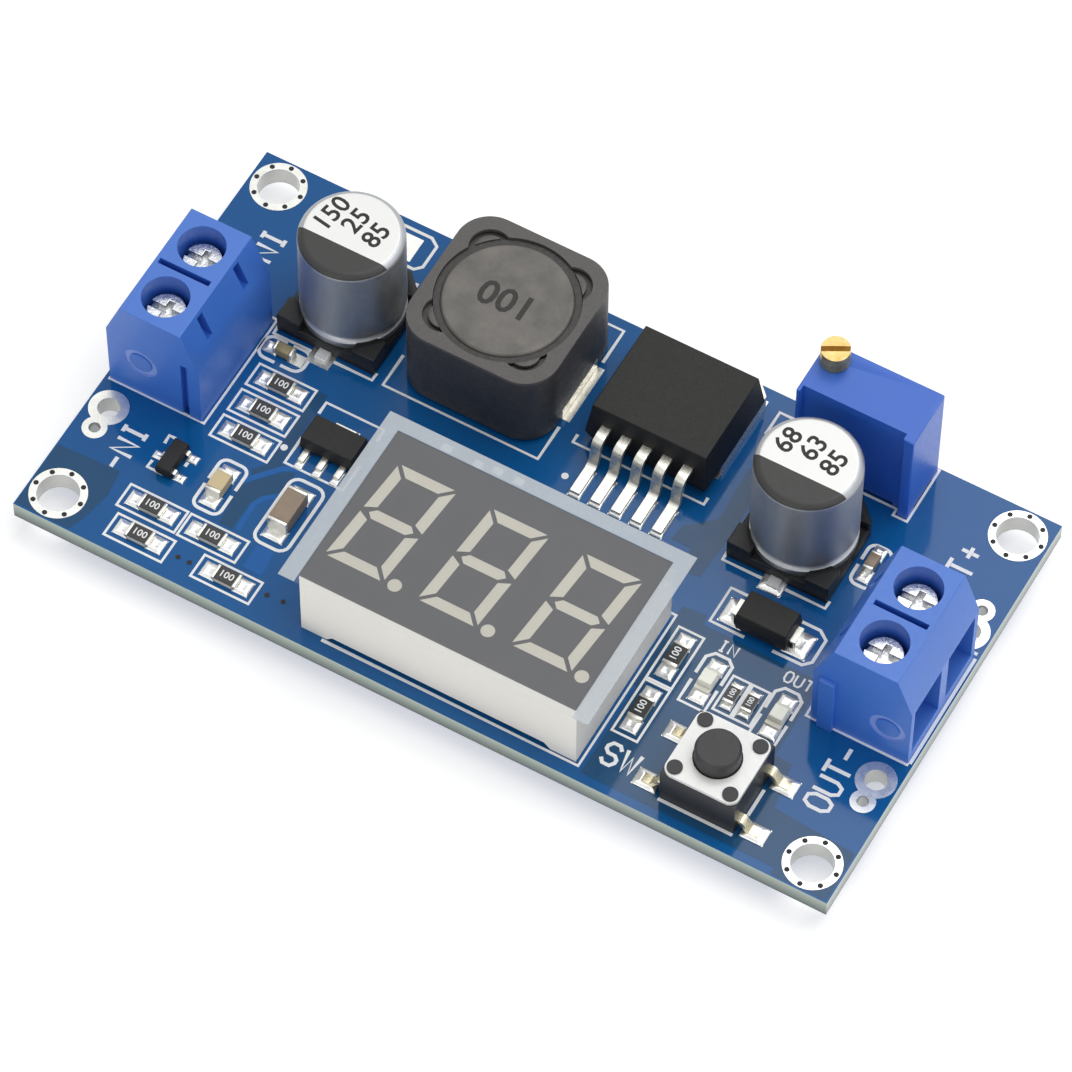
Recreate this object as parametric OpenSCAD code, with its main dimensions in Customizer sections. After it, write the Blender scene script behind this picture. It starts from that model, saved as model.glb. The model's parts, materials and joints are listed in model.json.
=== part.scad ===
// Adjustable boost converter module: a circuit board with two screw terminals, a switching
// regulator, inductor, rectifier and capacitors, a voltage-setting trimmer, a three-digit
// voltage display and a display switch.
// Millimetres. The origin is the middle of the four mounting holes, on the board's underside.
// +X runs from the input terminal to the output terminal, +Y to the trimmer side, +Z up.

/* [Circuit board] */
// Board length, from the input end to the output end
board_l = 67; // [66:0.5:72]
// Board width, from the switch side to the trimmer side
board_w = 36; // [36:0.5:40]
// Board thickness
board_t = 1.6; // [1.2:0.1:2.4]
// Thickness of the copper and solder of a land
land_t = 0.05; // [0.03:0.01:0.1]
// Diameter of a mounting hole
mount_hole_d = 3.2; // [3:0.1:3.4]
// Diameter of the plated land round a mounting hole
mount_land_d = 4.35; // [4.2:0.05:4.5]
// Mounting hole's centre from the board's end
mount_inset_x = 2.4; // [2.3:0.05:3]
// Mounting hole's centre from the board's side
mount_inset_y = 2.35; // [2.3:0.05:3]
// Number of vias in a mounting land
mount_vias = 8; // [4:1:12]
// Diameter of those vias
mount_via_d = 0.3; // [0.2:0.05:0.35]
// Diameter of a hole for a soldered wire
wire_hole_d = 1.7; // [1.4:0.1:2]
// Diameter of the land round a wire hole
wire_land_d = 3.05; // [2.6:0.05:3.1]
// Diameter of the small test hole beside a wire hole
test_hole_d = 0.9; // [0.7:0.1:1.1]
// Diameter of the land round a test hole
test_land_d = 1.9; // [1.6:0.1:2]
// Distance from a wire hole to its test hole
test_offset = 2; // [1.8:0.1:2.3]
// Wire hole's centre from the board's end
wire_inset = 1.7; // [1.6:0.1:2.2]
// Wire hole's centre from the terminal's end, on the switch side
wire_gap_front = 2.3; // [2.2:0.1:3]
// Wire hole's centre from the terminal's end, on the trimmer side
wire_gap_back = 1.75; // [1.7:0.05:3]
// Length that pins stand out below the board
pin_tail = 1.7; // [1.4:0.1:2.4]

/* [Screw terminals] */
// Distance between the two poles
pole_pitch = 5.08; // [5:0.02:5.4]
// Height of the housing
terminal_h = 10; // [9.6:0.1:11]
// Housing depth from the screw axis to the wire side
terminal_out = 3.7; // [3.6:0.1:4]
// Housing depth from the screw axis to the inner side
terminal_in = 4.15; // [4:0.05:4.6]
// Flat top from the screw axis towards the wire side
top_out = 2.4; // [2.2:0.1:2.8]
// Flat top from the screw axis towards the inner side
top_in = 2.7; // [2.4:0.1:3]
// Height where the wire side starts to slope
shoulder_out = 6.6; // [6.2:0.1:7]
// Height where the inner side starts to slope
shoulder_in = 6.3; // [6:0.1:7]
// Screw axis from the board's end
terminal_inset = 4.1; // [4:0.1:5]
// Terminal's centre from the board's middle line
terminal_y = -0.1; // [-0.5:0.1:0.5]
// Diameter of a screw well
well_d = 3.6; // [3.4:0.1:3.8]
// Thickness of the housing's floor
floor_t = 1.15; // [1:0.05:1.4]
// Width of a wire entry
entry_w = 4; // [3.7:0.1:4.2]
// Length of the slot between the wells
top_slot_l = 4.3; // [3:0.1:4.4]
// Width of the slot between the wells
top_slot_w = 0.45; // [0.4:0.05:0.9]
// Depth of the slot between the wells
top_slot_depth = 4; // [2:0.1:4.4]
// Height of a metal contact
contact_h = 3.9; // [3.7:0.1:4.2]
// Width of a contact's strip
strip_w = 3.4; // [3.2:0.1:3.6]
// Thickness of a contact's strip
strip_t = 0.6; // [0.5:0.05:0.7]
// Seating clearance of a contact in its pocket
seat_gap = 0.05; // [0.03:0.01:0.1]
// Thickness of a wire guard
guard_t = 0.35; // [0.3:0.05:0.5]
// Diameter of a terminal screw's head
head_d = 2.9; // [2.7:0.1:3.1]
// Height of a terminal screw's head
head_h = 1.4; // [1.2:0.1:1.6]
// Depth of a raised screw's head below the top
head_sink = 1.7; // [1.4:0.1:2]
// Thread diameter of a terminal screw
thread_d = 2.5; // [2.3:0.1:2.6]
// Lead of that thread for one turn
thread_pitch = 0.45; // [0.4:0.05:0.5]
// Turns from the raised screw to a closed clamp
screw_turns = 3.5; // [2.5:0.5:3.5]
// Running clearance round a screw and its neck
thread_gap = 0.03; // [0.02:0.01:0.05]

/* [Electrolytic capacitors] */
// Diameter of a can
can_d = 8; // [7.6:0.1:8.6]
// Height of a can's top above its lands
can_h = 10.2; // [9:0.1:12]
// Width of the square base beyond the can
base_margin = 0.3; // [0.2:0.1:0.6]
// Thickness of the base under the can
base_t = 0.8; // [0.7:0.1:1.2]
// Height of the base's corner posts
post_h = 1.9; // [1.6:0.1:2.2]
// Chamfer of the base's two positive corners
base_chamfer = 1.6; // [1.2:0.1:2]
// Height of the crimped bead above the base
bead_z = 1.3; // [1.2:0.1:2]
// Width of a base lead
can_lead_w = 0.95; // [0.7:0.05:1.2]
// Length that a base lead stands out past the base
can_lead_out = 0.85; // [0.6:0.05:1.2]
// Thickness of a base lead
can_lead_t = 0.3; // [0.2:0.05:0.4]

/* [Inductor] */
// Width of the square shield
shield_w = 12.25; // [11.6:0.05:12.6]
// Height of the shield's top above its lands
shield_h = 7.7; // [7:0.1:8.4]
// Radius of the shield's corners
shield_r = 2.7; // [2.2:0.1:3]
// Diameter of the shield's bore
shield_bore = 10.9; // [10.6:0.1:11.1]
// Diameter of the drum core's top disc
drum_d = 9.8; // [9.2:0.1:10.2]
// Thickness of the drum core's discs
drum_disc_t = 1.3; // [1:0.1:1.6]
// Diameter of the drum core's post
drum_post_d = 4.6; // [4:0.1:5.2]
// Diameter of the winding
winding_d = 9; // [8.4:0.1:9.1]
// Depth of the recesses at the shield's corners
corner_depth = 0.5; // [0.4:0.1:1.2]
// Diameter of a corner recess
corner_d = 3.2; // [2.6:0.1:3.4]
// Diameter of the lug in a corner recess
lug_d = 2.3; // [1.4:0.1:2.5]
// Width of a clip terminal
clip_w = 5.3; // [4.6:0.1:6]
// Thickness of a clip terminal
clip_t = 0.3; // [0.2:0.05:0.4]
// Height of a clip terminal up the shield's side
clip_h = 1.1; // [0.8:0.1:1.4]
// Length of a clip terminal under the shield
clip_l = 2.6; // [2.2:0.1:3.2]

/* [Regulator] */
// Width of the moulded body
reg_w = 10.2; // [9.8:0.1:10.6]
// Depth of the moulded body
reg_l = 8.8; // [8.4:0.1:9.2]
// Height of the moulded body
reg_h = 4.45; // [4.2:0.05:4.8]
// Mould draft of the body on each side
reg_draft = 0.4; // [0.3:0.05:0.5]
// Thickness of the heat tab
tab_t = 1.27; // [1.1:0.01:1.4]
// Length of the tab behind the body
tab_out = 1.3; // [1:0.1:1.5]
// Distance between leads
reg_pitch = 1.7; // [1.6:0.02:1.8]
// Width of a lead
reg_lead_w = 0.8; // [0.7:0.05:0.9]
// Thickness of a lead
reg_lead_t = 0.42; // [0.35:0.01:0.5]
// Height of the leads where they leave the body
reg_lead_z = 2.3; // [2:0.1:2.6]
// Length of the leads beyond the body
reg_lead_out = 4.5; // [4.2:0.1:4.8]

/* [Trimmer] */
// Length of the trimmer's body
trim_l = 9.55; // [9.3:0.05:10]
// Depth of the trimmer's body
trim_w = 4.85; // [4.6:0.05:5]
// Height of the trimmer's body
trim_h = 10; // [9.5:0.1:10.5]
// Height of the feet under the body
trim_foot_h = 0.4; // [0.3:0.05:0.6]
// Depth of the recess in the front face
trim_recess = 0.6; // [0.3:0.05:0.7]
// Width of the corner strip beside that recess, away from the screw
trim_strip = 0.85; // [0.7:0.05:1]
// Width of the corner strip on the screw's side
trim_strip_screw = 0.3; // [0.25:0.05:0.6]
// Diameter of the adjusting screw's head
trim_head_d = 2.2; // [2:0.05:2.4]
// Height of that head above the body
trim_head_h = 1.55; // [1.3:0.05:1.8]
// Diameter of the adjusting screw's shaft
trim_shaft_d = 1.6; // [1.4:0.1:1.8]
// Length of that shaft inside the body
trim_shaft_l = 3; // [2:0.1:4]
// Screw axis from the body's two nearest sides
trim_screw_inset = 1.27; // [1.2:0.01:1.4]
// Distance between the trimmer's pins
trim_pitch = 2.54; // [2.5:0.01:2.6]
// Running clearance of the adjusting screw
trim_gap = 0.05; // [0.03:0.01:0.1]

/* [Display] */
// Length of the display
disp_l = 22.6; // [22:0.1:23]
// Width of the display
disp_w = 14; // [13.6:0.1:14.2]
// Height of the display's housing
disp_h = 7; // [6.6:0.1:7.6]
// Thickness of the printed face
face_t = 0.15; // [0.1:0.05:0.25]
// Depth of the recess under the housing
disp_recess = 1.6; // [1.4:0.1:2]
// Thickness of the housing's side walls
disp_wall = 0.7; // [0.6:0.05:0.9]
// Height of the arch between the housing's feet
arch_h = 0.5; // [0.3:0.1:0.8]
// Width of the housing's feet
disp_foot = 2.1; // [1.6:0.1:2.6]
// Distance between digits
digit_pitch = 7.6; // [7.4:0.05:7.7]
// Height of a digit between its outer segments' middles
digit_h = 8.35; // [8:0.05:8.6]
// Width of a digit between its side segments' middles
digit_w = 3.95; // [3.8:0.05:4.6]
// Lean of the digits in degrees
digit_lean = 5; // [0:0.5:8]
// Width of a segment
segment_w = 0.85; // [0.7:0.05:1]
// Gap between two segments
segment_gap = 0.3; // [0.15:0.05:0.35]
// Depth of a segment's light well
segment_depth = 1; // [0.6:0.1:1.4]
// Diameter of a decimal point
point_d = 1.05; // [0.9:0.05:1.2]
// Thickness of the protective film
film_t = 0.1; // [0.06:0.01:0.15]
// Film beyond the display's two short ends
film_side = 1.3; // [0.8:0.05:1.5]
// Film beyond the display's back edge
film_back = 1.15; // [0.8:0.05:1.3]
// Film beyond the display's front edge
film_front = 0.7; // [0.1:0.05:0.9]
// Distance between the display's two pin rows
disp_rows = 10.16; // [10:0.02:10.3]
// Pins in a row
disp_pins_row = 6; // [4:1:6]
// Width of the display's square pins
disp_pin_w = 0.5; // [0.4:0.05:0.6]

/* [Switch] */
// Width of the switch
switch_w = 6; // [5.8:0.1:6.4]
// Height of the moulded base
switch_h = 3.3; // [3.1:0.1:3.6]
// Thickness of the metal cover
cover_t = 0.3; // [0.2:0.05:0.4]
// Radius of the cover's corners
cover_r = 0.75; // [0.5:0.05:0.9]
// Distance between the rivet heads
rivet_pitch = 4.45; // [4.3:0.05:4.5]
// Diameter of a rivet head
rivet_d = 1.15; // [1:0.05:1.2]
// Diameter of the button
button_d = 3.4; // [3.2:0.1:3.5]
// Height of the button's top above the lands
button_h = 5; // [4.6:0.1:5.5]
// Travel of the button
button_travel = 0.25; // [0.2:0.05:0.3]
// Clearance round the button
button_gap = 0.1; // [0.06:0.01:0.15]
// Diameter of the contact dome
dome_d = 3.8; // [3.6:0.1:4]
// Height of the contact dome
dome_h = 0.55; // [0.45:0.05:0.6]
// Thickness of the contact dome
dome_t = 0.08; // [0.06:0.01:0.1]
// Width of a switch lead
switch_lead_w = 0.75; // [0.6:0.05:0.9]
// Length of a switch lead beyond the base
switch_lead_out = 1.7; // [1.5:0.1:1.9]

/* [Small parts] */
// Length, width and height of the rectifier diode
diode_size = [4.3, 2.6, 2.15]; // [1:0.05:6]
// Length, width and height of the supply regulator
supply_size = [4.5, 2.5, 1.5]; // [1:0.05:6]
// Length, width and height of the signal transistor
transistor_size = [2.9, 1.3, 1]; // [0.8:0.05:4]
// Length, width and height of the meter chip
chip_size = [6.5, 4.4, 1]; // [0.8:0.05:8]
// Length, width and height of a chip resistor
resistor_size = [2, 1.2, 0.5]; // [0.3:0.05:3]
// Length, width and height of the two small resistors between the lights
pair_size = [1.6, 0.85, 0.45]; // [0.3:0.05:3]
// Length, width and height of a small chip capacitor
cap_small = [1.6, 0.8, 0.8]; // [0.5:0.05:3]
// Length, width and height of the middle chip capacitor
cap_middle = [2, 1.25, 1]; // [0.5:0.05:3]
// Length, width and height of the large chip capacitor
cap_large = [3.2, 1.6, 1.35]; // [0.5:0.05:4]
// Length, width and height of an indicator light
led_size = [2, 1.25, 0.85]; // [0.5:0.05:3]
// Thickness of the metal on a chip's ends
end_t = 0.25; // [0.15:0.05:0.35]

/* [Layout] */
// Free lengths between the terminals along the back row, from the input end; they share what is there
back_row_gaps = [0.6, 1.6, 2.3, 3.55, 3.4]; // [0.4:0.05:5]
// Input capacitor's centre, from the board's middle line
input_can_y = 8.7; // [8:0.1:9.4]
// Output capacitor's centre
output_can_y = 7.85; // [7.4:0.05:8]
// Inductor's centre
inductor_y = 10.75; // [10:0.05:11.4]
// Regulator's front edge
regulator_y = 7.3; // [6.8:0.1:7.6]
// Trimmer's centre, and how far it stands nearer to the output than the capacitor
trimmer_y = 15.3; // [15.2:0.05:15.4]
trimmer_shift = 1; // [0.5:0.1:1.2]
// Display's centre
display_at = [1.3, -9.7]; // [-10:0.1:2]
// Switch's place on a board of the drawn length
switch_drawn = [22.1, -13.3]; // [-14:0.1:23]
// Diode's place
diode_drawn = [19.15, -0.3]; // [-1:0.05:20]
// Supply regulator's place
supply_drawn = [-15.65, -2.4]; // [-17:0.05:-2]
// Signal transistor's place
transistor_drawn = [-25.25, -9.25]; // [-26:0.05:-9]
// Unused lands behind the input capacitor: distance from its centre
spare_shift = [-1.3, 7]; // [-2:0.1:8]

/* [Hidden] */

// Round parts are drawn with this many sides
$fn = 48;
// Steps of a bend in a lead
bend_steps = 4;
// A cut runs this far past the face that it opens
cut = 0.5;

// Height of the plane that parts stand on
seat_z = board_t + land_t;
mount_at = [board_l / 2 - mount_inset_x, board_w / 2 - mount_inset_y];
terminal_x = board_l / 2 - terminal_inset;
terminal_w = 2 * pole_pitch;
wire_x = board_l / 2 - wire_inset;
// Each wire hole: place, and the side of it that the test hole is on
wire_front_y = terminal_y - terminal_w / 2 - wire_gap_front;
wire_back_y = terminal_y + terminal_w / 2 + wire_gap_back;

// Contact, clamp and screw of a terminal, measured from the board's top and the screw axis
contact_in = 2.2;
contact_out = 1.9;
contact_top = floor_t + contact_h;
contact_pin = [1, 0.8];
clamp_travel = screw_turns * thread_pitch;
clamp_floor_gap = 0.12;
guard_z = floor_t + strip_t + clamp_travel + clamp_floor_gap;
guard_size = [3.1, 3.1];
guard_at = 0.1;
neck_d = 1.3;
head_z = terminal_h - head_sink - head_h;
thread_end = guard_z + guard_t + seat_gap;
entry_in = 2.35;
entry_lip = 0.3;
entry_drop = 0.15;

base_w = can_d + base_margin;
can_foot = base_t;
can_fit = 0.05;
disc_fit = 0.03;

// Regulator lead bends
reg_bend_r = 0.7;
reg_bend_start = 0.55;
reg_bend_angle = 78;
small_bend_angle = 80;

disp_pin_pitch = 2.54;
disp_top = disp_h + face_t;
digit_x = [for (i = [-1:1]) i * digit_pitch];
digit_shift = -0.2;
point_out = 1.25;
point_drop = 0.25;
point_at = [digit_w / 2 + point_out, -digit_h / 2 - point_drop];

// The back row's parts stand in a chain between the terminals
inner_x = terminal_x - terminal_in;
function sum(v, n) = n < 0 ? 0 : v[n] + sum(v, n - 1);
back_row_free = 2 * (inner_x - base_w) - shield_w - reg_w;
gap_unit = back_row_free / sum(back_row_gaps, len(back_row_gaps) - 1);
input_can_x = -inner_x + gap_unit * back_row_gaps[0] + base_w / 2;
inductor_x = input_can_x + base_w / 2 + gap_unit * back_row_gaps[1] + shield_w / 2;
regulator_x = inductor_x + shield_w / 2 + gap_unit * back_row_gaps[2] + reg_w / 2;
output_can_x = regulator_x + reg_w / 2 + gap_unit * back_row_gaps[3] + base_w / 2;
input_can_at = [input_can_x, input_can_y];
inductor_at = [inductor_x, inductor_y];
regulator_at = [regulator_x, regulator_y];
output_can_at = [output_can_x, output_can_y];
trimmer_at = [output_can_x + trimmer_shift, trimmer_y];
spare_at = input_can_at + spare_shift;

// The parts on both sides of the display spread with the free length there
drawn_inner_x = 25.25;
display_left = display_at[0] - disp_l / 2;
display_right = display_at[0] + disp_l / 2;
left_scale = (inner_x + display_left) / (drawn_inner_x + display_left);
right_scale = (inner_x - display_right) / (drawn_inner_x - display_right);
function spread(p) =
    [p[0] < display_left ? display_left + (p[0] - display_left) * left_scale :
     p[0] > display_right ? display_right + (p[0] - display_right) * right_scale : p[0], p[1]];
switch_at = spread(switch_drawn);
diode_at = spread(diode_drawn);
supply_at = spread(supply_drawn);
transistor_at = spread(transistor_drawn);

// Chip parts: drawn places of those along X and those along Y
resistors_x = [[-21.75, 0.3], [-21.75, -2.27], [-21.75, -4.84],
               [-24.5, -13.35], [-24, -15.9], [-19.4, -13.4], [-16.7, -15.9]];
resistors_y = [[14.55, -5.6], [14.55, -10.7]];
resistors_pair = [[19.65, -6.5], [21.1, -6.5]];
resistors = concat([for (p = resistors_x) concat(spread(p), 0, [resistor_size])],
                   [for (p = resistors_y) concat(spread(p), 90, [resistor_size])],
                   [for (p = resistors_pair) concat(spread(p), 90, [pair_size])]);
resistor_wide_lands = len(resistors_x) + len(resistors_y);
cap_front_drawn = [-23.05, 2.95];
cap_middle_drawn = [-21.2, -9.4];
cap_large_drawn = [-15.65, -9];
cap_back_shift = [1.25, 0.35];
capacitors = [concat(spread(cap_front_drawn), 0, [cap_small]),
              concat(output_can_at + [base_w / 2, 0] + cap_back_shift, 90, [cap_small]),
              concat(spread(cap_middle_drawn), 90, [cap_middle]),
              concat(spread(cap_large_drawn), 90, [cap_large])];
lights_drawn = [[17.55, -6.3], [23.35, -6.4]];
lights = [for (p = lights_drawn) spread(p)];

// Leads of the small parts: thickness, width, height where they leave the body, and the rest
chip_leads_side = 10;
chip_lead_pitch = 0.65;
chip_lead_t = 0.12;
chip_lead_w = 0.24;
chip_lead_rise = 0.4;
chip_lead_in = 0.4;
chip_lead_start = 0.1;
chip_lead_out = 1;
chip_lead_r = 0.15;
chip_foot = 0.1;
chip_draft = 0.08;
chip_belt = 0.36;
switch_lead_t = 0.3;
switch_lead_rise = 0.9;
switch_lead_in = 1;
switch_lead_start = 0.25;
switch_lead_r = 0.25;
transistor_pitch = 0.95;
transistor_lead_t = 0.12;
transistor_lead_w = 0.42;
transistor_lead_rise = 0.45;
transistor_lead_in = 0.3;
transistor_lead_start = 0.08;
transistor_lead_out = 0.55;
transistor_lead_r = 0.14;
supply_pitch = 1.5;
supply_lead_t = 0.4;
supply_lead_w = 0.5;
supply_lead_out = 1.05;
supply_lead_in = 0.6;
supply_tab = [1.7, 1.6];
diode_lead_out = 0.45;
diode_lead_t = 0.2;
diode_foot = 0.2;
diode_draft = 0.15;
diode_hold = 0.8;
diode_fold = 1;

land_green = "gainsboro";
tin = "silver";
moulding = [0.16, 0.16, 0.17];
terminal_blue = [0.25, 0.42, 0.85];

function arc(c, r, a0, a1, n = bend_steps) =
    [for (i = [0:n]) c + r * [cos(a0 + (a1 - a0) * i / n), sin(a0 + (a1 - a0) * i / n)]];

// Outline of a bent lead, seen from its side: from the body at x = -inside, along at height rise,
// down through two bends and out along the land to x = reach
function gull_wing(inside, start, rise, reach, t, r, a) =
    let (c1 = [start, rise + t / 2 - r],
         p1 = c1 + r * [sin(a), cos(a)],
         drop = p1[1] - (t / 2 + r - r * cos(a)),
         c2 = [p1[0] + drop / tan(a) + r * sin(a), t / 2 + r])
    concat([[-inside, rise + t]],
           arc(c1, r + t / 2, 90, 90 - a),
           arc(c2, r - t / 2, 270 - a, 270),
           [[reach, t], [reach, 0]],
           arc(c2, r + t / 2, 270, 270 - a),
           arc(c1, r - t / 2, 90 - a, 90),
           [[-inside, rise]]);

// Rectangle with round corners
module rounded(l, w, r) {
    square([l, w - 2 * r], center = true);
    square([l - 2 * r, w], center = true);
    for (x = [-1, 1], y = [-1, 1])
        translate([x * (l / 2 - r), y * (w / 2 - r)])
            circle(r);
}

// Outline in the X-Z plane, extruded evenly to both sides of Y
module side_profile(points, w) {
    rotate([90, 0, 0])
        linear_extrude(w, center = true)
            polygon(points);
}

// Block centred on the origin and standing on z = 0
module block(size) {
    translate([-size[0] / 2, -size[1] / 2, 0])
        cube(size);
}

// Moulded block that tapers above and below its parting line
module moulded(size, draft, belt) {
    function belted(w) = [[-w / 2 + draft, 0], [w / 2 - draft, 0], [w / 2, belt],
                          [w / 2 - draft, size[2]], [draft - w / 2, size[2]], [-w / 2, belt]];
    intersection() {
        side_profile(belted(size[0]), size[1]);
        rotate(90)
            side_profile(belted(size[1]), size[0]);
    }
}

module ring(d, hole, t) {
    difference() {
        cylinder(d = d, h = t);
        translate([0, 0, -cut])
            cylinder(d = hole, h = t + 2 * cut);
    }
}

module each_mount() {
    for (x = [-1, 1], y = [-1, 1])
        translate([x * mount_at[0], y * mount_at[1], 0])
            children();
}

// The four wire holes; the test hole is always further from the terminal
module each_wire_hole() {
    for (x = [-1, 1]) {
        translate([x * wire_x, wire_front_y, 0])
            rotate(180)
                children();
        translate([x * wire_x, wire_back_y, 0])
            children();
    }
}

// Lands on both faces of the board
module both_faces() {
    translate([0, 0, board_t])
        children();
    translate([0, 0, -land_t])
        children();
}

// Frame of a terminal: side is -1 at the input and 1 at the output, +X towards the wires
module at_terminal(side) {
    translate([side * terminal_x, terminal_y, board_t])
        rotate(side < 0 ? 180 : 0)
            children();
}

module each_pole() {
    for (y = [-1, 1])
        translate([0, y * pole_pitch / 2, 0])
            children();
}

// Frame of one pole: pole is 1 on the trimmer side and -1 on the switch side
module at_pole(side, pole) {
    translate([side * terminal_x, terminal_y + pole * pole_pitch / 2, board_t])
        rotate(side < 0 ? 180 : 0)
            children();
}

module on_board(at, turn = 0) {
    translate([at[0], at[1], seat_z])
        rotate(turn)
            children();
}

module each_trimmer_pin() {
    for (i = [-1:1])
        translate([trimmer_at[0] + i * trim_pitch, trimmer_at[1], 0])
            children();
}

module each_display_pin() {
    for (row = [-1, 1], i = [0:disp_pins_row - 1])
        translate([display_at[0] + (i - (disp_pins_row - 1) / 2) * disp_pin_pitch,
                   display_at[1] + row * disp_rows / 2, 0])
            children();
}

// Sizes of the through-hole joints
terminal_drill = 1.4;
trim_pin_d = 0.5;
trim_drill = 0.8;
disp_drill = 0.95;
terminal_land_d = 2.4;
small_land_d = 1.7;
terminal_solder_h = 1.1;
small_solder_h = 0.9;

// Sizes and distances of the lands that chip parts are soldered to
resistor_land = [1.25, 1.35];
resistor_land_pitch = 2.8;
pair_land = [0.8, 0.95];
pair_land_pitch = 1.6;
cap_land_l = 1.2;
cap_land_reach = 0.55;
cap_land_margin = 0.2;
light_land = [1.2, 1.4];
light_land_pitch = 2.7;
spare_land = [1.8, 2.2];
spare_land_pitch = 3.4;

module circuit_board() {
    color([0.12, 0.31, 0.6])
    difference() {
        block([board_l, board_w, board_t]);
        translate([0, 0, -cut]) {
            each_mount()
                cylinder(d = mount_hole_d, h = board_t + 2 * cut);
            each_wire_hole() {
                cylinder(d = wire_hole_d, h = board_t + 2 * cut);
                translate([0, test_offset, 0])
                    cylinder(d = test_hole_d, h = board_t + 2 * cut);
            }
            for (side = [-1, 1], pole = [-1, 1])
                translate([side * terminal_x, terminal_y + pole * pole_pitch / 2, 0])
                    cylinder(d = terminal_drill, h = board_t + 2 * cut);
            each_trimmer_pin()
                cylinder(d = trim_drill, h = board_t + 2 * cut);
            each_display_pin()
                cylinder(d = disp_drill, h = board_t + 2 * cut);
        }
    }
}

module mounting_lands() {
    via_r = (mount_land_d + mount_hole_d) / 4;
    color(tin)
    each_mount()
        both_faces()
            difference() {
                ring(mount_land_d, mount_hole_d, land_t);
                for (i = [0:mount_vias - 1])
                    rotate(i * 360 / mount_vias)
                        translate([via_r, 0, -cut])
                            cylinder(d = mount_via_d, h = land_t + 2 * cut);
            }
}

// Figure-eight land round a wire hole and its test hole
module wire_lands() {
    color(tin)
    each_wire_hole()
        both_faces()
            difference() {
                union() {
                    cylinder(d = wire_land_d, h = land_t);
                    translate([0, test_offset, 0])
                        cylinder(d = test_land_d, h = land_t);
                }
                translate([0, 0, -cut])
                    cylinder(d = wire_hole_d, h = land_t + 2 * cut);
                translate([0, test_offset, -cut])
                    cylinder(d = test_hole_d, h = land_t + 2 * cut);
            }
}

// Two lands, a distance apart along X
module land_pair(pitch, size) {
    for (x = [-1, 1])
        translate([x * pitch / 2, 0, -land_t])
            block([size[0], size[1], land_t]);
}

module lands_of_chips() {
    for (i = [0:len(resistors) - 1]) {
        wide = i < resistor_wide_lands;
        on_board(resistors[i], resistors[i][2])
            land_pair(wide ? resistor_land_pitch : pair_land_pitch, wide ? resistor_land : pair_land);
    }
    for (c = capacitors)
        on_board(c, c[2])
            land_pair(c[3][0] + cap_land_reach, [cap_land_l, c[3][1] + cap_land_margin]);
    for (p = lights)
        on_board(p, 90)
            land_pair(light_land_pitch, light_land);
    on_board(spare_at)
        land_pair(spare_land_pitch, spare_land);
}

module lands_of_power_parts() {
    can_land_l = 2.8;
    for (p = [input_can_at, output_can_at])
        on_board(p, 90)
            land_pair(base_w + 2 * can_lead_out + 0.9 - can_land_l, [can_land_l, 1.9]);
    on_board(inductor_at)
        land_pair(shield_w - clip_l + 0.7, [clip_l + 0.5, clip_w]);
    on_board(regulator_at) {
        for (i = [-2:2])
            translate([i * reg_pitch, -reg_lead_out + 1.1, -land_t])
                block([1.05, 2.7, land_t]);
        translate([0, reg_l / 2 + tab_out, -land_t])
            block([reg_w - 0.2, reg_l - 1, land_t]);
    }
    on_board(diode_at)
        land_pair(5.1, [2, 2.2]);
}

module lands_of_logic_parts() {
    on_board(supply_at) {
        for (i = [-1:1])
            translate([i * 1.5, -supply_size[1] / 2 - 0.85, -land_t])
                block([0.7, 1.5, land_t]);
        translate([0, supply_size[1] / 2 - 0.3, -land_t])
            block([2, 2.2, land_t]);
    }
    on_board(transistor_at)
        each_transistor_lead()
            translate([transistor_size[1] / 2 + 0.5, 0, -land_t])
                block([0.9, 0.7, land_t]);
    on_board(display_at)
        each_chip_lead()
            translate([chip_size[1] / 2 + 0.75, 0, -land_t])
                block([1.4, 0.4, land_t]);
    on_board(switch_at)
        each_switch_lead()
            translate([switch_w / 2 + switch_lead_out - 0.35, 0, -land_t])
                block([1.9, 1.5, land_t]);
}

// Lands on the underside round soldered pins
module lands_of_pins() {
    for (side = [-1, 1])
        at_terminal(side)
            each_pole()
                translate([0, 0, -board_t - land_t])
                    ring(terminal_land_d, terminal_drill, land_t);
    translate([0, 0, -land_t]) {
        each_trimmer_pin()
            ring(small_land_d, trim_drill, land_t);
        each_display_pin()
            ring(small_land_d, disp_drill, land_t);
    }
}

module solder_lands() {
    color(land_green) {
        lands_of_chips();
        lands_of_power_parts();
        lands_of_logic_parts();
        lands_of_pins();
    }
}

// Cone of solder round a pin below the board
module solder_cone(d, h) {
    translate([0, 0, -land_t - h])
        cylinder(d1 = d * 0.45, d2 = d, h = h);
}

module pin_solder() {
    color(tin)
    difference() {
        union() {
            for (side = [-1, 1])
                at_terminal(side)
                    each_pole()
                        translate([0, 0, -board_t])
                            solder_cone(terminal_land_d, terminal_solder_h);
            each_trimmer_pin()
                solder_cone(small_land_d, small_solder_h);
            each_display_pin()
                solder_cone(small_land_d, small_solder_h);
        }
        for (side = [-1, 1])
            terminal_contacts(side);
        trimmer_pins();
        display_pins();
    }
}

// Plain side outline of a terminal housing
function terminal_outline() =
    [[-terminal_in, 0], [terminal_out, 0], [terminal_out, shoulder_out], [top_out, terminal_h],
     [-top_in, terminal_h], [-terminal_in, shoulder_in]];

// Round mark left by an ejector pin on an end face
module ejector_mark(u, z, end) {
    mark_d = 2.8;
    mark_hole = 1.9;
    mark_depth = 0.12;
    translate([u, end * (terminal_w / 2 - mark_depth), z])
        rotate([end > 0 ? -90 : 90, 0, 0])
            ring(mark_d, mark_hole, mark_depth + cut);
}

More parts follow.
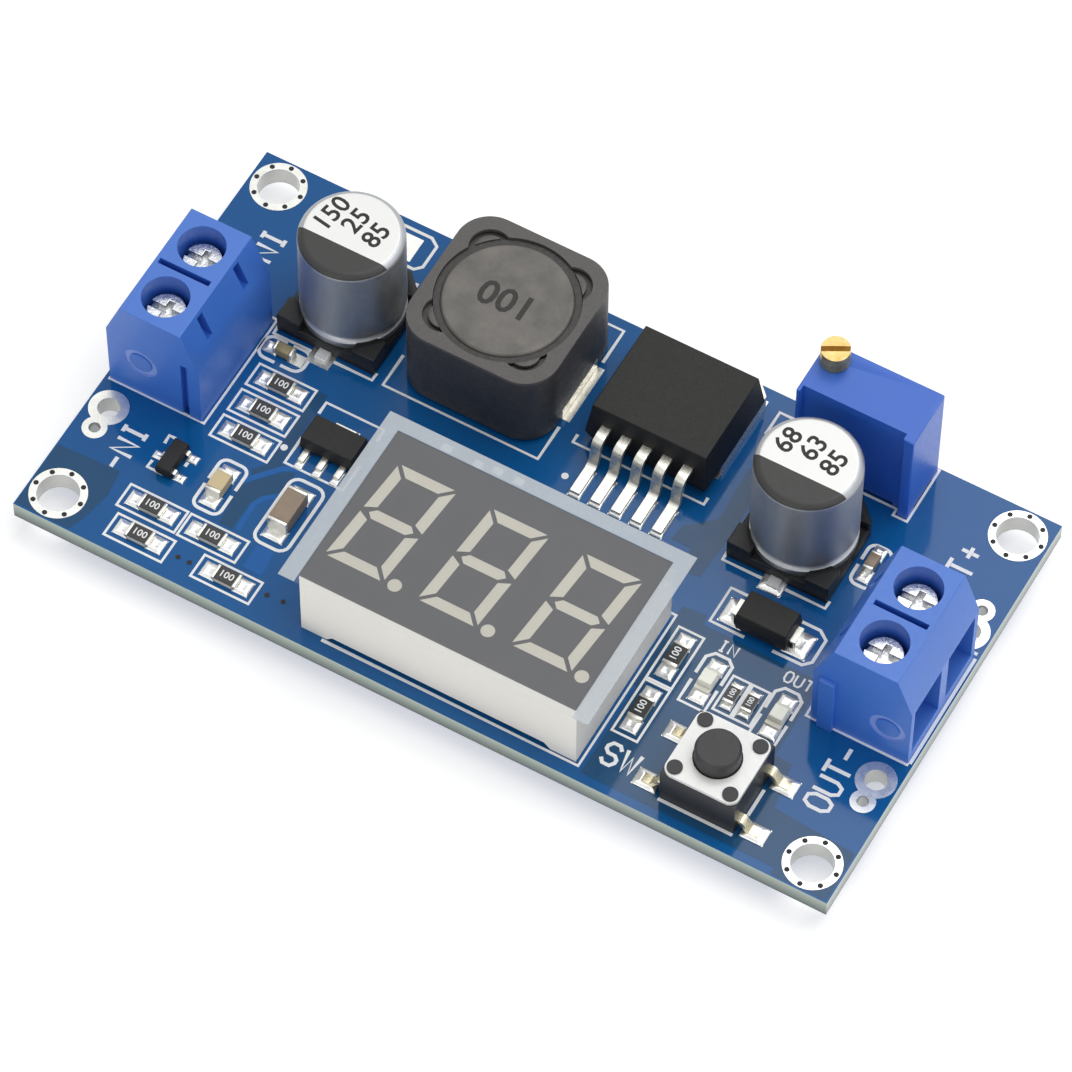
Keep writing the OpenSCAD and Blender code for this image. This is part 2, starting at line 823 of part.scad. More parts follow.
// Everything that is cut out of a housing for one pole
module pole_cuts() {
    pocket = [contact_in + seat_gap, strip_w + 2 * seat_gap];
    slit_w = 0.7;
    slit_r = 1.15;
    slit_z = (terminal_h + shoulder_in) / 2 + 0.4;
    slit_u = (top_in + terminal_in) / 2 - 0.35;
    translate([0, 0, contact_top])
        cylinder(d = well_d, h = terminal_h - contact_top + cut);
    translate([-pocket[0], -pocket[1] / 2, floor_t])
        cube([pocket[0] + terminal_out + cut, pocket[1], contact_h + seat_gap]);
    translate([entry_in, -entry_w / 2, floor_t - entry_drop])
        cube([terminal_out - entry_in + cut, entry_w, shoulder_out - entry_lip - floor_t + entry_drop]);
    translate([0, 0, -cut])
        block([contact_pin[0] + 4 * seat_gap, contact_pin[1] + 4 * seat_gap, floor_t + 2 * cut]);
    translate([-slit_u, 0, slit_z])
        rotate([90, 0, 0])
            cylinder(r = slit_r, h = slit_w, center = true);
}

// Housing with its wells, wire entries, slot, end marks, and the rib and groove that join it in rows
module terminal_housing(side) {
    rib = [1.2, 0.45];
    groove = [0.55, 0.6];
    join_u = -2.85;
    slot_u = -0.05;
    color(terminal_blue)
    at_terminal(side)
        difference() {
            union() {
                side_profile(terminal_outline(), terminal_w);
                translate([join_u - rib[0] / 2, -terminal_w / 2 - rib[1], 0])
                    cube([rib[0], 2 * rib[1], shoulder_in - 0.1]);
            }
            each_pole()
                pole_cuts();
            translate([slot_u, 0, terminal_h - top_slot_depth])
                block([top_slot_l, top_slot_w, top_slot_depth + cut]);
            translate([join_u, terminal_w / 2, -cut])
                block([groove[0], 2 * groove[1], shoulder_in + cut]);
            ejector_mark(0.9, 4, 1);
            ejector_mark(1.9, 3.4, -1);
        }
}

// Bent strip: threaded top, back and bottom, with a pin through the board
module contact() {
    difference() {
        translate([-contact_in, -strip_w / 2, floor_t])
            cube([contact_in + contact_out, strip_w, contact_h]);
        translate([strip_t - contact_in, -strip_w, floor_t + strip_t])
            cube([contact_in + contact_out, 2 * strip_w, contact_h - 2 * strip_t]);
        translate([0, 0, floor_t + strip_t])
            cylinder(d = thread_d + 2 * thread_gap, h = contact_h);
    }
    translate([0, 0, -board_t - pin_tail])
        block([contact_pin[0], contact_pin[1], board_t + pin_tail + floor_t]);
}

module terminal_contacts(side) {
    color("darkgoldenrod")
    at_terminal(side)
        each_pole()
            contact();
}

// Plate that the screw presses onto the wire, with a turned-up lip towards the wire side
module wire_guard() {
    lip_h = 0.4;
    color("goldenrod")
    translate([guard_at, 0, guard_z])
        difference() {
            union() {
                block([guard_size[0], guard_size[1], guard_t]);
                translate([guard_size[0] / 2 - guard_t / 2, 0, 0])
                    block([guard_t, guard_size[1], guard_t + lip_h]);
            }
            translate([-guard_at, 0, -cut])
                cylinder(d = neck_d + 2 * thread_gap, h = guard_t + 2 * cut);
        }
}

// Headed screw with a cross slot and a neck that carries the guard
module clamp_screw() {
    slot_w = 0.5;
    slot_depth = 0.7;
    cross_l = 1.7;
    color("lightgray")
    difference() {
        union() {
            translate([0, 0, head_z])
                cylinder(d = head_d, h = head_h);
            translate([0, 0, thread_end])
                cylinder(d = thread_d, h = head_z - thread_end);
            translate([0, 0, guard_z + seat_gap])
                cylinder(d = neck_d, h = thread_end - guard_z);
        }
        translate([0, 0, head_z + head_h - slot_depth]) {
            block([head_d + cut, slot_w, slot_depth + cut]);
            block([slot_w, cross_l, slot_depth + cut]);
        }
    }
}

module input_terminal_housing() terminal_housing(-1);
module input_terminal_contacts() terminal_contacts(-1);
module input_positive_guard() at_pole(-1, 1) wire_guard();
module input_positive_screw() at_pole(-1, 1) clamp_screw();
module input_negative_guard() at_pole(-1, -1) wire_guard();
module input_negative_screw() at_pole(-1, -1) clamp_screw();
module output_terminal_housing() terminal_housing(1);
module output_terminal_contacts() terminal_contacts(1);
module output_positive_guard() at_pole(1, 1) wire_guard();
module output_positive_screw() at_pole(1, 1) clamp_screw();
module output_negative_guard() at_pole(1, -1) wire_guard();
module output_negative_screw() at_pole(1, -1) clamp_screw();

// Square moulded base, chamfered at the positive side (+Y), with posts that hold the can
module capacitor_base(at) {
    half = base_w / 2;
    lead_slot = can_lead_t + can_fit;
    color(moulding)
    on_board(at)
        difference() {
            linear_extrude(post_h)
                polygon([[-half, -half], [half, -half],
                         [half, half - base_chamfer], [half - base_chamfer, half],
                         [base_chamfer - half, half], [-half, half - base_chamfer]]);
            translate([0, 0, can_foot])
                cylinder(d = can_d + 2 * can_fit, h = post_h);
            for (turn = [0, 90])
                rotate(turn)
                    translate([0, 0, can_foot + 0.3])
                        block([base_w + cut, can_d * 0.55, post_h]);
            translate([0, 0, -cut])
                block([can_lead_w + 2 * can_fit, base_w + cut, lead_slot + cut]);
        }
}

// Drawn can: rolled foot, crimped bead near the base and a round top edge
module capacitor_can(at) {
    r = can_d / 2;
    edge_r = 0.6;
    bead_r = 0.45;
    bead_depth = 0.3;
    foot_r = 0.25;
    wall_h = can_h - can_foot;
    bead_half = sqrt(bead_r * bead_r - pow(bead_r - bead_depth, 2));
    bead_a = asin(bead_half / bead_r);
    color("lightgray")
    on_board(at)
        translate([0, 0, can_foot])
            rotate_extrude()
                polygon(concat(
                    [[0, 0], [r - foot_r, 0]],
                    arc([r - foot_r, foot_r], foot_r, -90, 0),
                    arc([r + bead_r - bead_depth, bead_z], bead_r, 180 + bead_a, 180 - bead_a, 6),
                    arc([r - edge_r, wall_h - edge_r], edge_r, 0, 90, 6),
                    [[0, wall_h]]));
}

// Two flat leads that run out from the middle of the base
module capacitor_leads(at) {
    inner = 1.2;
    color(tin)
    on_board(at)
        for (y = [0, 180])
            rotate(y)
                translate([-can_lead_w / 2, inner, 0])
                    cube([can_lead_w, base_w / 2 + can_lead_out - inner, can_lead_t]);
}

module input_capacitor_base() capacitor_base(input_can_at);
module input_capacitor_can() capacitor_can(input_can_at);
module input_capacitor_leads() capacitor_leads(input_can_at);
module output_capacitor_base() capacitor_base(output_can_at);
module output_capacitor_can() capacitor_can(output_can_at);
module output_capacitor_leads() capacitor_leads(output_can_at);

// Ferrite ring round the drum, with a recess and a lug at each corner of its top
module inductor_shield() {
    corner_out = shield_w / 2 - shield_r + 0.9;
    lug_drop = 0.12;
    corner_u = corner_out * sqrt(2) - corner_d * 0.42;
    lug_root = 0.2;
    color([0.25, 0.25, 0.26])
    on_board(inductor_at)
        difference() {
            union() {
                difference() {
                    translate([0, 0, clip_t])
                        linear_extrude(shield_h - clip_t)
                            rounded(shield_w, shield_w, shield_r);
                    for (a = [45:90:315])
                        rotate(a)
                            translate([corner_u, 0, shield_h - corner_depth])
                                cylinder(d = corner_d, h = corner_depth + cut);
                }
                for (a = [45:90:315])
                    rotate(a)
                        translate([corner_u, 0, shield_h - corner_depth - lug_root])
                            cylinder(d = lug_d, h = corner_depth + lug_root - lug_drop);
            }
            translate([0, 0, -cut])
                cylinder(d = shield_bore, h = shield_h + 2 * cut);
            for (x = [-1, 1])
                translate([x * shield_w / 2, 0, clip_t - cut])
                    block([2 * clip_t, clip_w + 2 * disc_fit, clip_h - clip_t + cut + disc_fit]);
        }
}

module inductor_core() {
    bottom_d = drum_d + 0.5;
    color([0.42, 0.42, 0.42])
    on_board(inductor_at)
        rotate_extrude()
            polygon([[0, clip_t], [bottom_d / 2, clip_t], [bottom_d / 2, clip_t + drum_disc_t],
                     [drum_post_d / 2, clip_t + drum_disc_t], [drum_post_d / 2, shield_h - drum_disc_t],
                     [drum_d / 2, shield_h - drum_disc_t], [drum_d / 2, shield_h - 0.15],
                     [drum_d / 2 - 0.15, shield_h], [0, shield_h]]);
}

module inductor_winding() {
    color("sienna")
    on_board(inductor_at)
        translate([0, 0, clip_t + drum_disc_t])
            ring(winding_d, drum_post_d, shield_h - clip_t - 2 * drum_disc_t);
}

// Ring of dark glue that holds the drum's top disc in the shield's bore
module inductor_adhesive() {
    glue_t = 0.8;
    glue_drop = 0.25;
    color([0.15, 0.15, 0.15])
    on_board(inductor_at)
        translate([0, 0, shield_h - glue_drop - glue_t])
            ring(shield_bore - 2 * disc_fit, drum_d + 2 * disc_fit, glue_t);
}

// Two clips under the shield that turn up its sides
module inductor_clips() {
    color(tin)
    on_board(inductor_at)
        for (turn = [0, 180])
            rotate(turn)
                side_profile([[shield_w / 2 - clip_l, 0], [shield_w / 2, 0], [shield_w / 2, clip_h],
                              [shield_w / 2 - clip_t, clip_h], [shield_w / 2 - clip_t, clip_t],
                              [shield_w / 2 - clip_l, clip_t]], clip_w);
}

// Copper heat tab under the body and behind it, with clipped back corners
module regulator_tab() {
    inset = 2.4;
    back = reg_l + tab_out;
    half = reg_w / 2 - 0.1;
    clip = 0.9;
    color(tin)
    on_board(regulator_at)
        linear_extrude(tab_t)
            polygon([[-half, inset], [half, inset], [half, back - clip], [half - clip, back],
                     [clip - half, back], [-half, back - clip]]);
}

module regulator_leads() {
    inside = 0.9;
    profile = gull_wing(inside, reg_bend_start, reg_lead_z, reg_lead_out,
                        reg_lead_t, reg_bend_r, reg_bend_angle);
    color(tin)
    on_board(regulator_at)
        for (i = [-2:2])
            translate([i * reg_pitch, 0, 0])
                rotate(-90)
                    side_profile(profile, reg_lead_w);
}

module regulator_body() {
    color(moulding)
    difference() {
        on_board(regulator_at)
            translate([0, reg_l / 2, 0])
                moulded([reg_w, reg_l, reg_h], reg_draft, tab_t);
        regulator_tab();
        regulator_leads();
    }
}

// Flat leads that leave the ends of the body and fold under it
module diode_leads() {
    t = diode_lead_t;
    half = diode_size[0] / 2;
    end = half + diode_lead_out;
    mid = diode_size[2] / 2;
    color(tin)
    on_board(diode_at)
        for (turn = [0, 180])
            rotate(turn)
                side_profile([[half - diode_hold, mid - t / 2], [end - t, mid - t / 2], [end - t, t],
                              [half - diode_fold, t], [half - diode_fold, 0], [end, 0], [end, mid + t / 2],
                              [half - diode_hold, mid + t / 2]], diode_size[1] * 0.55);
}

module diode_body() {
    h = diode_size[2] - diode_foot;
    color(moulding)
    difference() {
        on_board(diode_at)
            translate([0, 0, diode_foot])
                moulded([diode_size[0], diode_size[1], h], diode_draft, diode_size[2] / 2 - diode_foot);
        diode_leads();
    }
}

// Box with feet, strips at its front corners and a bore for the adjusting screw
module trimmer_body() {
    foot = [1.5, 1];
    screw_at = [-trim_l / 2 + trim_screw_inset, trim_w / 2 - trim_screw_inset];
    color([0.3, 0.45, 0.9])
    difference() {
        translate([trimmer_at[0], trimmer_at[1], board_t])
            difference() {
                block([trim_l, trim_w, trim_h]);
                translate([(trim_strip_screw - trim_strip) / 2, -trim_w / 2, -cut])
                    block([trim_l - trim_strip_screw - trim_strip, 2 * trim_recess, trim_h + 2 * cut]);
                for (turn = [0, 90])
                    rotate(turn)
                        translate([0, 0, -cut])
                            block([turn == 0 ? trim_l - 2 * foot[0] : trim_w - 2 * foot[1],
                                   trim_l + trim_w, trim_foot_h + cut]);
                translate([screw_at[0], screw_at[1], trim_h - trim_shaft_l - trim_gap])
                    cylinder(d = trim_shaft_d + 2 * trim_gap, h = trim_shaft_l + cut + trim_gap);
            }
        trimmer_pins();
    }
}

module trimmer_screw() {
    slot = [0.45, 0.65];
    screw_at = [-trim_l / 2 + trim_screw_inset, trim_w / 2 - trim_screw_inset];
    color("gold")
    translate([trimmer_at[0] + screw_at[0], trimmer_at[1] + screw_at[1], board_t + trim_h])
        difference() {
            union() {
                translate([0, 0, trim_gap])
                    cylinder(d = trim_head_d, h = trim_head_h - trim_gap);
                translate([0, 0, -trim_shaft_l])
                    cylinder(d = trim_shaft_d, h = trim_shaft_l + trim_gap);
            }
            rotate(29)
                translate([0, 0, trim_head_h - slot[1]])
                    block([trim_head_d + cut, slot[0], slot[1] + cut]);
        }
}

module trimmer_pins() {
    inside = 1.5;
    color(tin)
    each_trimmer_pin()
        translate([0, 0, -pin_tail])
            cylinder(d = trim_pin_d, h = pin_tail + board_t + trim_foot_h + inside);
}

// The middle segment: a bar with pointed ends, along X
module middle_segment(l) {
    half = l / 2 - segment_gap / 2;
    w = segment_w / 2;
    polygon([[-half, 0], [w - half, w], [half - w, w], [half, 0], [half - w, -w], [w - half, -w]]);
}

// An outer segment along X: mitred at its left end, slanted by right_cut at its right end, longest at +Y
module outer_segment(left, right, right_cut) {
    gap = segment_gap / sqrt(2);
    w = segment_w / 2;
    polygon([[gap - left - w, w], [right - gap + right_cut, w], [right - gap - right_cut, -w],
             [gap - left + w, -w]]);
}

// The seven segments and the point of one digit, leaning to the right
module digit() {
    lean = tan(digit_lean);
    bar = digit_h / 2;
    multmatrix([[1, lean, 0, 0], [0, 1, 0, 0], [0, 0, 1, 0], [0, 0, 0, 1]]) {
        middle_segment(digit_w);
        for (y = [0, 1])
            mirror([0, y])
                translate([0, digit_h / 2])
                    outer_segment(digit_w / 2, digit_w / 2, segment_w / 2);
        for (x = [0, 1], y = [0, 1])
            mirror([x, 0])
                mirror([0, y])
                    translate([digit_w / 2, bar / 2])
                        rotate(-90)
                            outer_segment(bar / 2, bar / 2 - segment_w / 4, segment_w / 4);
    }
    translate([point_at[0] - bar * lean, point_at[1]])
        circle(d = point_d);
}

module all_digits() {
    for (x = digit_x)
        translate([x + digit_shift, 0])
            digit();
}

module on_display() {
    translate([display_at[0], display_at[1], board_t])
        children();
}

// The light wells' fillings, flush with the printed face
module display_segments() {
    color([0.82, 0.8, 0.74])
    on_display()
        translate([0, 0, disp_top - segment_depth])
            linear_extrude(segment_depth)
                all_digits();
}

module display_face() {
    color([0.42, 0.41, 0.41])
    on_display()
        translate([0, 0, disp_h])
            linear_extrude(face_t)
                difference() {
                    square([disp_l, disp_w], center = true);
                    all_digits();
                }
}

// White shell: recess below, arched long sides, wells for the segments
module display_housing() {
    arch_l = disp_l - 2 * disp_foot;
    color([0.92, 0.9, 0.86])
    difference() {
        on_display()
            difference() {
                block([disp_l, disp_w, disp_h]);
                translate([0, 0, -cut])
                    block([disp_l - 2 * disp_wall, disp_w - 2 * disp_wall, disp_recess + cut]);
                side_profile([[-arch_l / 2 - cut, -cut], [arch_l / 2 + cut, -cut],
                              [arch_l / 2 - arch_h, arch_h], [arch_h - arch_l / 2, arch_h]],
                             disp_w + 2 * cut);
                translate([0, 0, disp_top - segment_depth])
                    linear_extrude(segment_depth + cut)
                        all_digits();
            }
        display_pins();
    }
}

// Peel-off sheet that stands out past the back and the two ends
module display_film() {
    size = [disp_l + 2 * film_side, disp_w + film_front + film_back];
    color([0.85, 0.9, 0.95, 0.5])
    on_display()
        translate([0, (film_back - film_front) / 2, disp_top])
            block([size[0], size[1], film_t]);
}

module display_pins() {
    inside = 1.5;
    color(tin)
    each_display_pin()
        translate([0, 0, -pin_tail])
            block([disp_pin_w, disp_pin_w, pin_tail + board_t + disp_recess + inside]);
}

// Frames of the meter chip's leads, +X outwards
module each_chip_lead() {
    for (turn = [90, -90], i = [0:chip_leads_side - 1])
        rotate(turn)
            translate([0, (i - (chip_leads_side - 1) / 2) * chip_lead_pitch, 0])
                children();
}

module meter_chip_leads() {
    half = chip_size[1] / 2;
    profile = gull_wing(chip_lead_in, chip_lead_start, chip_lead_rise, chip_lead_out, chip_lead_t,
                        chip_lead_r, small_bend_angle);
    color(tin)
    on_board(display_at)
        each_chip_lead()
            translate([half, 0, 0])
                side_profile(profile, chip_lead_w);
}

module meter_chip_body() {
    color(moulding)
    difference() {
        on_board(display_at)
            translate([0, 0, chip_foot])
                moulded(chip_size, chip_draft, chip_belt);
        meter_chip_leads();
    }
}

module each_switch_lead() {
    for (turn = [0, 180], y = [-1, 1])
        rotate(turn)
            translate([0, y * rivet_pitch / 2, 0])
                children();
}

cavity_d = dome_d + 0.5;
cavity_z = 1.2;

// Base with a round cavity for the dome; its four rivets hold the cover
module switch_base() {
    rivet_head_h = 0.15;
    color([0.17, 0.17, 0.18])
    difference() {
        on_board(switch_at)
            difference() {
                union() {
                    block([switch_w, switch_w, switch_h]);
                    for (x = [-1, 1], y = [-1, 1])
                        translate([x * rivet_pitch / 2, y * rivet_pitch / 2, switch_h - cut])
                            cylinder(d = rivet_d, h = cut + cover_t + rivet_head_h);
                }
                translate([0, 0, cavity_z])
                    cylinder(d = cavity_d, h = switch_h);
            }
        switch_leads();
    }
}

module switch_cover() {
    color("whitesmoke")
    on_board(switch_at)
        translate([0, 0, switch_h])
            difference() {
                linear_extrude(cover_t)
                    rounded(switch_w - 0.1, switch_w - 0.1, cover_r);
                translate([0, 0, -cut])
                    cylinder(d = button_d + 2 * button_gap, h = cover_t + 2 * cut);
                for (x = [-1, 1], y = [-1, 1])
                    translate([x * rivet_pitch / 2, y * rivet_pitch / 2, -cut])
                        cylinder(d = rivet_d, h = cover_t + 2 * cut);
            }
}

// Button with a collar under the cover and a nub that reaches the dome
module switch_button() {
    collar_d = cavity_d - 2 * button_gap;
    nub_d = 1.5;
    nub_gap = 0.03;
    nub_z = cavity_z + dome_h + nub_gap;
    collar_clear = 0.62;
    collar_z = nub_z + button_travel + collar_clear;
    collar_top = switch_h - button_gap / 2;
    edge = 0.3;
    color([0.22, 0.22, 0.23])
    on_board(switch_at)
        rotate_extrude()
            polygon([[0, nub_z], [nub_d / 2, nub_z], [nub_d / 2, collar_z], [collar_d / 2, collar_z],
                     [collar_d / 2, collar_top], [button_d / 2, collar_top],
                     [button_d / 2, button_h - edge], [button_d / 2 - edge / 2, button_h], [0, button_h]]);
}

// Springy contact dome, a cap of a thin sphere
module switch_dome() {
    half = dome_d / 2;
    r = (half * half + dome_h * dome_h) / (2 * dome_h);
    sweep = asin(half / r);
    inner_sweep = acos(r * cos(sweep) / (r - dome_t));
    color("lightgray")
    on_board(switch_at)
        translate([0, 0, cavity_z + dome_h - r])
            rotate_extrude()
                polygon(concat([[0, r]], arc([0, 0], r, 90, 90 - sweep, 6),
                               arc([0, 0], r - dome_t, 90 - inner_sweep, 90, 6)));
}

module switch_leads() {
    profile = gull_wing(switch_lead_in, switch_lead_start, switch_lead_rise, switch_lead_out, switch_lead_t,
                        switch_lead_r, 60);
    color(tin)
    on_board(switch_at)
        each_switch_lead()
            translate([switch_w / 2, 0, 0])
                side_profile(profile, switch_lead_w);
}

// Three flat leads in front and a tab behind, at board level
module supply_regulator_leads() {
    front = -supply_size[1] / 2;
    color(tin)
    on_board(supply_at) {
        for (i = [-1:1])
            translate([i * supply_pitch, front + (supply_lead_in - supply_lead_out) / 2, 0])
                block([supply_lead_w, supply_lead_in + supply_lead_out, supply_lead_t]);
        translate([0, -front - supply_tab[1] / 8, 0])
            block([supply_tab[0], supply_tab[1], supply_lead_t]);
    }
}

module supply_regulator_body() {
    color(moulding)
    difference() {
        on_board(supply_at)
            moulded(supply_size, 0.3 * supply_lead_t, supply_lead_t);
        supply_regulator_leads();
    }
}

// Frames of the transistor's leads, +X outwards: one on the input side, two opposite
module each_transistor_lead() {
    rotate(180)
        children();
    for (y = [-1, 1])
        translate([0, y * transistor_pitch, 0])
            children();
}

module transistor_leads() {
    profile = gull_wing(transistor_lead_in, transistor_lead_start, transistor_lead_rise,
                        transistor_lead_out, transistor_lead_t, transistor_lead_r, small_bend_angle);
    color(tin)
    on_board(transistor_at)
        each_transistor_lead()
            translate([transistor_size[1] / 2, 0, 0])
                side_profile(profile, transistor_lead_w);
}

module transistor_body() {
    foot = transistor_lead_start;
    belt = transistor_lead_rise + transistor_lead_t / 2 - foot;
    color(moulding)
    difference() {
        on_board(transistor_at)
            translate([0, 0, foot])
                rotate(90)
                    moulded(transistor_size, foot, belt);
        transistor_leads();
    }
}

// Middle of a chip part, between its metal ends
module chip_middle(size) {
    block([size[0] - 2 * end_t, size[1], size[2]]);
}

module chip_ends(size) {
    for (x = [-1, 1])
        translate([x * (size[0] - end_t) / 2, 0, 0])
            block([end_t, size[1], size[2]]);
}

module resistor_bodies() {
    color([0.2, 0.2, 0.2])
    for (p = resistors)
        on_board(p, p[2])
            chip_middle(p[3]);
}

module resistor_ends() {
    color("gainsboro")
    for (p = resistors)
        on_board(p, p[2])
            chip_ends(p[3]);
}

module chip_capacitor_bodies() {
    color("tan")
    for (p = capacitors)
        on_board(p, p[2])
            chip_middle(p[3]);
}

module chip_capacitor_ends() {
    color("gainsboro")
    for (p = capacitors)
        on_board(p, p[2])
            chip_ends(p[3]);
}

led_base_t = 0.35;

module indicator_light_bases() {
    color("ivory")
    for (p = lights)
        on_board(p, 90)
            block([led_size[0], led_size[1], led_base_t]);
}

module indicator_light_lenses() {
    color([0.95, 0.96, 0.9, 0.8])
    for (p = lights)
        on_board(p, 90)
            translate([0, 0, led_base_t])
                moulded([led_size[0] * 0.66, led_size[1], led_size[2] - led_base_t], 0.1, 0.05);
}

circuit_board();
mounting_lands();
wire_lands();
solder_lands();
pin_solder();
input_terminal_housing();
input_terminal_contacts();
input_positive_guard();
input_positive_screw();
input_negative_guard();
input_negative_screw();
output_terminal_housing();
output_terminal_contacts();
output_positive_guard();
output_positive_screw();
output_negative_guard();
output_negative_screw();
input_capacitor_base();
input_capacitor_can();
input_capacitor_leads();
output_capacitor_base();
output_capacitor_can();
output_capacitor_leads();
inductor_shield();
inductor_core();
inductor_winding();
inductor_adhesive();
inductor_clips();
regulator_body();
regulator_tab();
regulator_leads();
diode_body();
diode_leads();
trimmer_body();
trimmer_screw();
trimmer_pins();
display_housing();
display_face();
display_segments();
display_film();
display_pins();
meter_chip_body();
meter_chip_leads();
switch_base();
switch_cover();
switch_button();
switch_dome();
switch_leads();
supply_regulator_body();
supply_regulator_leads();
transistor_body();
transistor_leads();
resistor_bodies();
resistor_ends();
chip_capacitor_bodies();
chip_capacitor_ends();
indicator_light_bases();
indicator_light_lenses();
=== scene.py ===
# %% [markdown]
# A boost converter module is a small blue circuit board that raises a voltage. Its parts come from the
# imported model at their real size. This lesson gives each of them its finish, eases the edges that catch
# the light, and adds what is too thin for the solid model: print, solder, copper under the lacquer.

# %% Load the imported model
import json
import math

import bmesh
import bpy
from mathutils import Matrix, Vector

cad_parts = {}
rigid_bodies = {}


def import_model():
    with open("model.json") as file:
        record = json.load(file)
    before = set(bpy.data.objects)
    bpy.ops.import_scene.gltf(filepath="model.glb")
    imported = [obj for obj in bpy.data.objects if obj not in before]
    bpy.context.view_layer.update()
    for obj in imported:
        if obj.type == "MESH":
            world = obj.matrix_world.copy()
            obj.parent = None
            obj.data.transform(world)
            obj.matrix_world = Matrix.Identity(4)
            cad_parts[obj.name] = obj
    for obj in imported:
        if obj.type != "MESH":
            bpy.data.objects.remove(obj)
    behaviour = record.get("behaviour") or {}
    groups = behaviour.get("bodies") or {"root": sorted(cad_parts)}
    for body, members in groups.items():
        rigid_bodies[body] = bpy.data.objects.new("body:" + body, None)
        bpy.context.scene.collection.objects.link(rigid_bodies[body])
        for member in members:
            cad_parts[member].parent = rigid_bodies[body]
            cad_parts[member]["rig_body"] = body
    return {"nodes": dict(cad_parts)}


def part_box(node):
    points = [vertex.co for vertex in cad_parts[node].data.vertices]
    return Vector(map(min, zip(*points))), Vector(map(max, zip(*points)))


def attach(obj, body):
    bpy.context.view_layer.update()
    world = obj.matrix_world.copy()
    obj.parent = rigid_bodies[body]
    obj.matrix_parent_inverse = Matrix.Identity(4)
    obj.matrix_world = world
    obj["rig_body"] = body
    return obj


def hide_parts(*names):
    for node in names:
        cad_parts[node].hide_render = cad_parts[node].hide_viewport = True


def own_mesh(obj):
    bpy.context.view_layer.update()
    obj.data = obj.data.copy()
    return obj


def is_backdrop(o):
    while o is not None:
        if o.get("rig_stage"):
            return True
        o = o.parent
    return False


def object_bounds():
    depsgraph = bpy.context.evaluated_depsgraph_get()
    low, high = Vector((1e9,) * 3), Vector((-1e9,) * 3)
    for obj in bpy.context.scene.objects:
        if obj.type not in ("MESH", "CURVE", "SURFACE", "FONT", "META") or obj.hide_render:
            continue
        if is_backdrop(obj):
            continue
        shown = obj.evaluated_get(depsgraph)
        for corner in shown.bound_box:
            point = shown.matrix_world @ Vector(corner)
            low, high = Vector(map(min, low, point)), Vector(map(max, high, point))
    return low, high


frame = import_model()
nodes = frame["nodes"]
cad_low, cad_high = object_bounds()
MM = 0.001
board_low, board_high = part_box("circuit_board")
board_top = board_high.z
print("nodes:", len(nodes), "board:", [round(v / MM, 2) for v in board_high - board_low])

# %% [markdown]
# Colours are written as they look on a screen, in hex, and turned to the linear values that shaders
# want. One small function adds a shader node with its settings and links.

# %% Colours and shader nodes


def linear(colour):
    """Linear RGBA from an sRGB hex colour."""
    out = []
    for i in (0, 2, 4):
        c = int(colour[i:i + 2], 16) / 255
        out.append(c / 12.92 if c <= 0.04045 else ((c + 0.055) / 1.055) ** 2.4)
    return (*out, 1.0)


def add_node(tree, kind, inputs=None, **settings):
    """Add a node, set its properties, and set or link its inputs by name or number."""
    node = tree.nodes.new(kind)
    for name, value in settings.items():
        setattr(node, name, value)
    for name, value in (inputs or {}).items():
        if isinstance(value, bpy.types.NodeSocket):
            tree.links.new(value, node.inputs[name])
        else:
            node.inputs[name].default_value = value
    return node


print("white in linear values:", linear("ffffff"))

# %% [markdown]
# No real surface is quite even. Each finish starts from the same few nodes: one noise drifts between two
# close colours, and a finer one varies the roughness and raises a grain. Patterns read Object
# coordinates, which are metres here, so a pattern of a given size has a scale of one over that size.

# %% A surface that is never quite even
finish = {}


def per_mm(size):
    """Noise scale for a pattern whose patches are about this many millimetres wide."""
    return 1 / (size * MM)


def surface(name, colours, patch, roughness, bump, **sockets):
    """A material whose colour drifts between two hexes and whose sheen varies with it.

    patch is the width of a colour patch and of a bump grain in mm, roughness the lowest and highest
    value, and bump the height of the grain in mm. Other sockets are set on the shader as they are.
    """
    material = bpy.data.materials.new(name)
    material.use_nodes = True
    tree = material.node_tree
    tree.nodes.clear()
    place = add_node(tree, "ShaderNodeTexCoord").outputs["Object"]
    drift = add_node(tree, "ShaderNodeTexNoise", {
        "Vector": place, "Scale": per_mm(patch[0]), "Detail": 4.0}).outputs["Fac"]
    grain = add_node(tree, "ShaderNodeTexNoise", {
        "Vector": place, "Scale": per_mm(patch[1]), "Detail": 3.0}).outputs["Fac"]
    tint = add_node(tree, "ShaderNodeMixRGB", {
        "Fac": drift, "Color1": linear(colours[0]), "Color2": linear(colours[1])})
    sheen = add_node(tree, "ShaderNodeMapRange", {
        "Value": grain, "From Min": 0.3, "From Max": 0.7, "To Min": roughness[0], "To Max": roughness[1]})
    relief = add_node(tree, "ShaderNodeBump", {"Height": grain, "Strength": 0.5, "Distance": bump * MM})
    own = {key.replace("_", " "): value for key, value in sockets.items()}
    shader = add_node(tree, "ShaderNodeBsdfPrincipled", {
        "Base Color": tint.outputs["Color"], "Roughness": sheen.outputs["Result"],
        "Normal": relief.outputs["Normal"], **own})
    add_node(tree, "ShaderNodeOutputMaterial", {"Surface": shader.outputs["BSDF"]})
    return material, {"tree": tree, "place": place, "tint": tint, "shader": shader}


print("noise scale for patches of 1 mm:", per_mm(1))

# %% [markdown]
# Some pieces carry more than one finish: print on a can, tin in a hole, a bruise on a moulding. A mask is 1
# where a point lies between given limits and 0 elsewhere, and a second colour is laid over the first by
# it. This needs no unwrapping and no picture.

# %% Masks by place
X, Y, Z = (1, 0, 0), (0, 1, 0), (0, 0, 1)
# Farther than any part, in mm
far_off = 100


